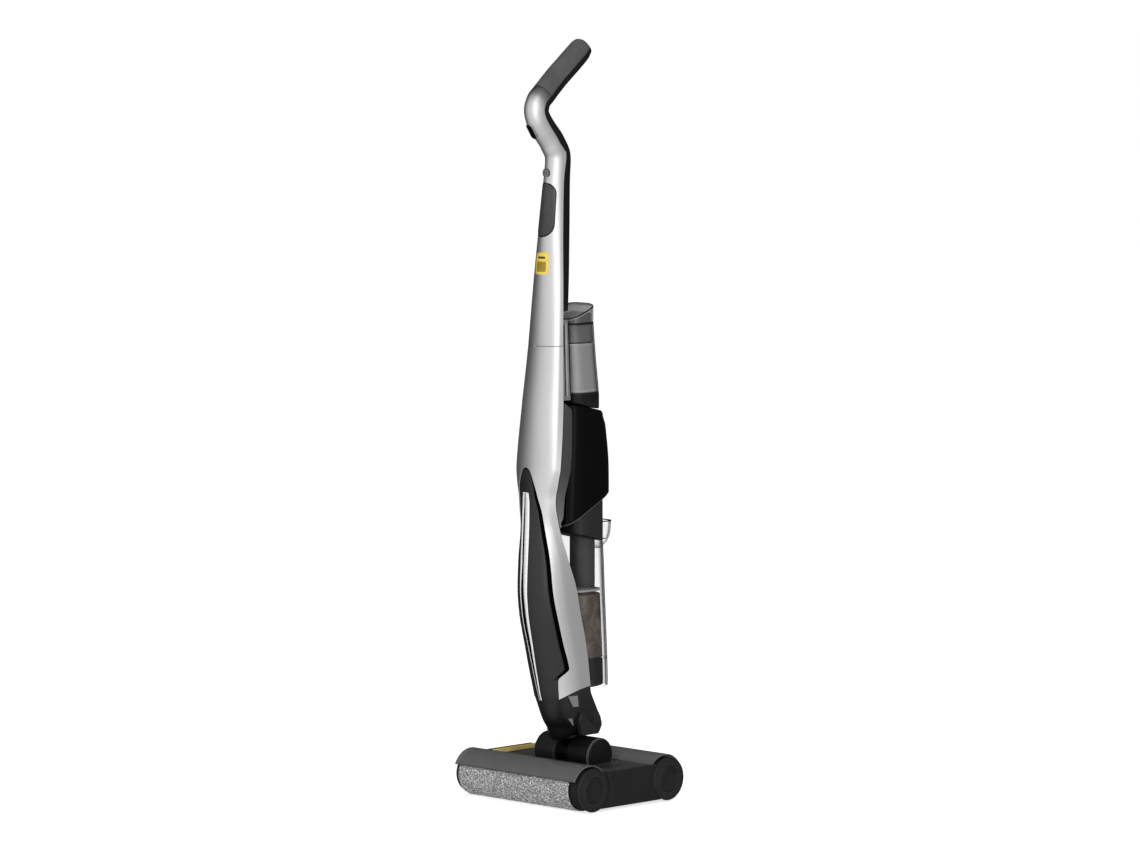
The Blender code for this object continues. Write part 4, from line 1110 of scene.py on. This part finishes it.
def make_spout():
    """Clear lip at the tank's rear, with a dark rolled rim."""
    rows = ((364.0, 54.0, 12.0), (374.0, 67.0, 17.0), (386.0, 72.0, 19.5), (404.0, 74.0, 20.0))

    def ring(z, shrink):
        rear, half = smooth(rows, z)
        return rounded_ring(z, 46.8, rear - shrink, half - shrink, 56, 0.7)

    outer = [ring(z, 0.0) for z in (364.0, 367.0, 371.0, 376.0, 382.0, 388.0, 396.0, 404.0)]
    inner = [ring(z, 1.7) for z in (404.0, 396.0, 388.0, 382.0, 377.0)]
    floor = [(0.0 + p[0] * 0.6, 49.0 + (p[1] - 49.0) * 0.7, 375.5) for p in inner[-1]]
    mesh = loft([*outer, *inner, floor])
    piece("spout_wall", mesh, CLEAR, "dirty_tank", ("dirty_tank_handle",), angle=50.0)
    rim = [p for p in ring(403.4, 0.4) if p[1] > 47.5]
    rim.sort(key=lambda p: math.atan2(p[1] - 47.0, p[0]))
    piece("spout_rim", tube(rim, 0.9, 10), BLACK, "dirty_tank")


# ---------------------------------------------------------------- head


def hood_row(x, radius, tail, side, count=40):
    points = []
    for angle in np.linspace(155.0, 41.0, count):
        turn = math.radians(angle)
        y = -ROLLER_Y + radius * math.cos(turn)
        points.append((x, side * y, ROLLER_Z + radius * math.sin(turn)))
    points.append((x, side * tail, points[-1][2]))
    return points


def make_hoods():
    for name, side, tail in (("front_hood", 1, -47.0), ("rear_hood", -1, -50.0)):
        places = np.linspace(-127.0, 120.5, 30)
        grids = [[hood_row(x, radius, tail, side) for x in places] for radius in (35.7, 33.9)]
        piece(f"{name}_cover", sheet(*grids), HOOD, "head", (name,), 0.5, 50.0)
        lip = [hood_row(x, 35.3, tail, side)[0] for x in np.linspace(-126.6, 120.2, 20)]
        piece(f"{name}_lip", tube(lip, 0.75, 8), CHEEK, "head")
        # A light metal arc inside the far end of each hood, a painted highlight.
        inner = [hood_row(-121.5, r, tail, side)[4:36] for r in (33.6, 30.4)]
        grids = [inner, [[(x + 1.2, y, z) for x, y, z in row] for row in inner]]
        piece(f"{name}_end_arc_highlight", sheet(*grids), BEVEL_GREY, "head", bevel=0.3)


def side_outline(radius, top, count=40):
    points = []
    for centre, start in ((ROLLER_Y, -90), (-ROLLER_Y, 40)):
        for i in range(count):
            turn = math.radians(start + 230 * i / (count - 1))
            points.append((centre + radius * math.cos(turn), ROLLER_Z + radius * math.sin(turn)))
        if centre > 0:
            points += [(49.0, 50.0), (49.0, top - 1.5), (47.5, top)]
            points += [(-45.0, top), (-46.4, top - 1.5), (-46.4, 50.0)]
    return points


def near_panel_outline():
    """Between the two end caps: straight top and bottom, hollow ends."""
    points = []
    radius = 32.3
    for side, first, last in ((-1, -62.0, 47.0), (1, 133.0, 242.0)):
        for angle in np.linspace(first, last, 24):
            turn = math.radians(angle)
            y = side * ROLLER_Y + radius * math.cos(turn)
            points.append((y, ROLLER_Z + radius * math.sin(turn)))
    return points


def make_sides():
    rings = []
    for x, radius in ((-HALF_WIDTH, 26.6), (-128.4, 28.0), (-127.0, 29.0), (-122.2, 29.0)):
        rings.append([(x, y, z) for y, z in side_outline(radius, 62.0)])
    piece("far_side_cover", loft(rings), CHARCOAL, "head", ("side_cover_left",), angle=50.0)
    mesh = plate(near_panel_outline(), 120.8, 128.0)
    piece("near_side_panel", mesh, CHARCOAL, "head", ("side_panel_right",), 0.9, 40.0)
    mesh = bmesh.new()
    corners = ((-117.0, -43.0), (-113.0, -43.0), (-113.0, 48.0), (-117.0, 48.0))
    loft([[(x, y, z) for x, y in corners] for z in (56.4, 63.0)], mesh=mesh)
    piece("release_strip", mesh, GOLD, "head", ("latch_strip",), 0.8)
    grids = []
    for z in (55.9, 51.0):
        grids.append([[(x, y, z) for y in (-46.2, -22.4)] for x in np.linspace(-116.8, 119.3, 10)])
    piece("deck_front", sheet(*grids), CHARCOAL, "head", bevel=0.6)
    for name, low, high in (("left", -116.8, -58.4), ("right", 58.4, 119.3)):
        grids = []
        for z in (55.9, 51.0):
            grids.append([[(x, y, z) for y in (-22.0, 49.2)] for x in (low, (low + high) / 2, high)])
        stands = ("head_deck",) if name == "right" else ()
        piece(f"deck_{name}", sheet(*grids), CHARCOAL, "head", stands, 0.6)


def make_end_caps():
    for name, y in ROLLERS:
        centre = (y, ROLLER_Z)
        cap = [(108.8, 6.8), (108.8, 29.6), (109.6, 30.6), (124.6, 30.6), (125.0, 31.2), (126.8, 31.6)]
        cap += [(127.6, 31.3), (128.2, 30.6), (128.4, 29.6), (128.4, 19.9), (128.0, 19.5), (124.8, 19.5)]
        cap += [(124.8, 4.2), (117.2, 4.2), (117.2, 6.8)]
        mesh = turned("X", centre, cap, 128, True)
        piece(f"{name}_cap_shell", mesh, CHARCOAL, "head", (f"{name}_end_cap",), angle=38.0)
        ring = [(107.0, 25.0), (107.0, 31.6), (108.3, 31.6), (108.3, 25.0)]
        piece(f"{name}_roller_ring", turned("X", centre, ring, 96, True), BLACK, "head", bevel=0.3)
        knob = [(119.2, 0.4), (119.2, 3.2), (125.2, 3.2), (125.2, 18.9), (128.3, 18.9)]
        knob += [(128.8, 18.5), (129.0, 17.9), (128.7, 16.4), (128.6, 15.6), (128.6, 2.0), (128.6, 0.4)]
        mesh = turned("X", centre, knob, 128)
        piece(f"{name}_knob_face", mesh, CHARCOAL, f"{name}_lock", (f"{name}_knob",), angle=38.0)
        grids = []
        for x in (128.95, 128.2):
            rows = []
            for radius in (14.6, 15.9):
                turns = np.radians(np.linspace(20.0, 62.0, 14))
                rows.append([(x, y + radius * math.cos(t), ROLLER_Z + radius * math.sin(t)) for t in turns])
            grids.append(rows)
        piece(f"{name}_knob_mark", sheet(*grids), BLACK, f"{name}_lock", bevel=0.2)


def make_piles():
    """Dense short pile: a rough sleeve with tufts that stand out of it."""
    rng = np.random.default_rng(SEED)
    for name, y in ROLLERS:
        count, rows = 220, 360
        left, right = -120.5, 106.4
        lumps = rng.normal(0.0, 1.0, (rows, count))
        soft = lumps + np.roll(lumps, 1, 0) + np.roll(lumps, 1, 1) + np.roll(np.roll(lumps, 1, 0), 1, 1)
        height = np.clip(32.0 + 0.26 * soft, 30.9, 32.9)
        rings = []
        for i, x in enumerate(np.linspace(left, right, rows)):
            ends = min(x - left, right - x)
            drop = 2.2 * max(0.0, 1.0 - ends / 2.2) ** 2
            ring = []
            for k in range(count):
                turn = 2 * math.pi * k / count
                radius = height[i, k] - drop
                ring.append((x, y + radius * math.cos(turn), ROLLER_Z + radius * math.sin(turn)))
            rings.append(ring)
        inner = [circle("X", x, (y, ROLLER_Z), 24.8, count) for x in (right, left)]
        mesh = loft(rings + inner, True)
        for _ in range(5200):
            x = rng.uniform(left + 0.6, right - 0.6)
            turn = rng.uniform(0.0, 2 * math.pi)
            lean = rng.normal(0.0, 0.5, 2)
            radial = np.array((0.0, math.cos(turn), math.sin(turn)))
            along = np.array((0.0, -math.sin(turn), math.cos(turn)))
            foot = np.array((x, y, ROLLER_Z)) + radial * 31.4
            tip = foot + radial * 1.45 + along * lean[0] + np.array((lean[1], 0.0, 0.0))
            wide = along * 0.2
            deep = np.array((0.2, 0.0, 0.0))
            corners = [mesh.verts.new(foot + wide), mesh.verts.new(foot - wide * 0.5 + deep)]
            corners.append(mesh.verts.new(foot - wide * 0.5 - deep))
            top = mesh.verts.new(tip)
            for a, b in ((0, 1), (1, 2), (2, 0)):
                mesh.faces.new((corners[a], corners[b], top))
            mesh.faces.new(corners[::-1])
        node = f"{name}_roller_pile"
        piece(f"{name}_pile", mesh, PILE, f"{name}_roller", (node,), angle=180.0)


# ---------------------------------------------------------------- nodes that keep their shape

KEPT = (
    (BLACK, ("head_chassis", "front_drive_hub", "rear_drive_hub", "water_pump", "release_button")),
    (SOFT_RUBBER, ("front_scraper", "rear_scraper", "suction_mouth")),
    (GREY, ("spray_bar", "front_roller_core", "rear_roller_core", "fan", "float_disc")),
    (ALUMINIUM, ("front_roller_motor", "rear_roller_motor", "suction_motor")),
    (CHROME, ("hinge_pin",)),
    (WRAP, ("battery_pack",)),
    (BOARD, ("control_board",)),
    (PAD, ("exhaust_filter",)),
)


def finish_kept_nodes():
    for made, names in KEPT:
        for name in names:
            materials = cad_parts[name].data.materials
            materials.clear()
            materials.append(made)


# ---------------------------------------------------------------- stage


def make_stage():
    mesh = bmesh.new()
    bmesh.ops.create_grid(mesh, x_segments=1, y_segments=1, size=30.0)
    data = bpy.data.meshes.new("floor")
    mesh.to_mesh(data)
    mesh.free()
    made = Surface("pale_floor", (0.80, 0.80, 0.80), 0.75, Specular_IOR_Level=0.0)
    made.tint(made.noise(3.0, 2.0), 0.006)
    made.set("Emission Color", (1.0, 1.0, 1.0, 1.0))
    made.set("Emission Strength", 0.72)
    data.materials.append(made.material)
    floor = bpy.data.objects.new("floor", data)
    floor.location = (0.0, 0.0, -0.0004)
    floor.visible_glossy = False
    floor.visible_diffuse = False
    bpy.context.scene.collection.objects.link(floor)


def area_light(name, place, aim, size, energy, reflected=True):
    data = bpy.data.lights.new(name, "AREA")
    data.shape = "RECTANGLE"
    data.size, data.size_y = size
    data.energy = energy
    light = bpy.data.objects.new(name, data)
    light.location = place
    light.rotation_euler = (Vector(aim) - Vector(place)).to_track_quat("-Z", "Y").to_euler()
    light.visible_glossy = reflected
    bpy.context.scene.collection.objects.link(light)


def make_lights():
    area_light("key_soft", (2.8, -0.75, 1.3), (0.0, 0.0, 0.6), (1.5, 3.0), 17.0)
    area_light("front_fill", (1.2, -3.2, 1.6), (0.0, 0.0, 0.4), (2.4, 2.4), 34.0, False)
    area_light("top_fill", (0.2, -0.2, 3.4), (0.0, 0.0, 0.4), (2.6, 2.6), 20.0, False)
    world = bpy.data.worlds.new("studio")
    bpy.context.scene.world = world
    world.use_nodes = True
    nodes, links = world.node_tree.nodes, world.node_tree.links
    coords = nodes.new("ShaderNodeTexCoord")
    split = nodes.new("ShaderNodeVectorMath")
    split.operation = "DOT_PRODUCT"
    split.inputs[1].default_value = (0.75, -0.66, 0.0)
    links.new(coords.outputs["Generated"], split.inputs[0])
    spread = nodes.new("ShaderNodeMapRange")
    spread.inputs["From Min"].default_value = -1.0
    spread.inputs["From Max"].default_value = 1.0
    ramp = nodes.new("ShaderNodeValToRGB")
    stops = ((0.0, 0.06), (0.25, 0.11), (0.5, 0.29), (0.75, 0.66), (1.0, 0.95))
    ramp.color_ramp.elements[0].color = (stops[0][1],) * 3 + (1.0,)
    ramp.color_ramp.elements[1].color = (stops[-1][1],) * 3 + (1.0,)
    for place, value in stops[1:-1]:
        ramp.color_ramp.elements.new(place).color = (value, value, value, 1.0)
    links.new(split.outputs["Value"], spread.inputs["Value"])
    links.new(spread.outputs["Result"], ramp.inputs["Fac"])
    links.new(ramp.outputs["Color"], nodes["Background"].inputs["Color"])


def make_camera():
    azimuth, elevation, distance = math.radians(45.0), math.radians(5.8), 9.0
    target = Vector((0.0009, 0.0009, 0.5436))
    away = Vector((math.sin(azimuth), -math.cos(azimuth), 0.0)) * math.cos(elevation)
    away.z = math.sin(elevation)
    data = bpy.data.cameras.new("photo_camera")
    data.sensor_width = 36.0
    data.lens = 195.5
    data.clip_end = 100.0
    camera = bpy.data.objects.new("photo_camera", data)
    camera.location = target + away * distance
    camera.rotation_euler = (-away).to_track_quat("-Z", "Y").to_euler()
    bpy.context.scene.collection.objects.link(camera)
    bpy.context.scene.camera = camera
    bpy.context.scene.view_settings.view_transform = "Standard"


make_camera()
make_lights()
make_stage()
make_silver_body()
make_leg_gaps()
make_belly()
make_belly_strip()
make_silver_handle()
make_grip()
make_back_strip()
make_side_bands()
make_stem_details()
make_buttons()
make_cheeks()
make_housing()
make_dock()
make_neck()
make_boot()
make_joint()
make_clean_tank()
make_clean_lid()
make_dirty_tank()
make_spout()
make_hoods()
make_sides()
make_end_caps()
make_piles()
finish_kept_nodes()
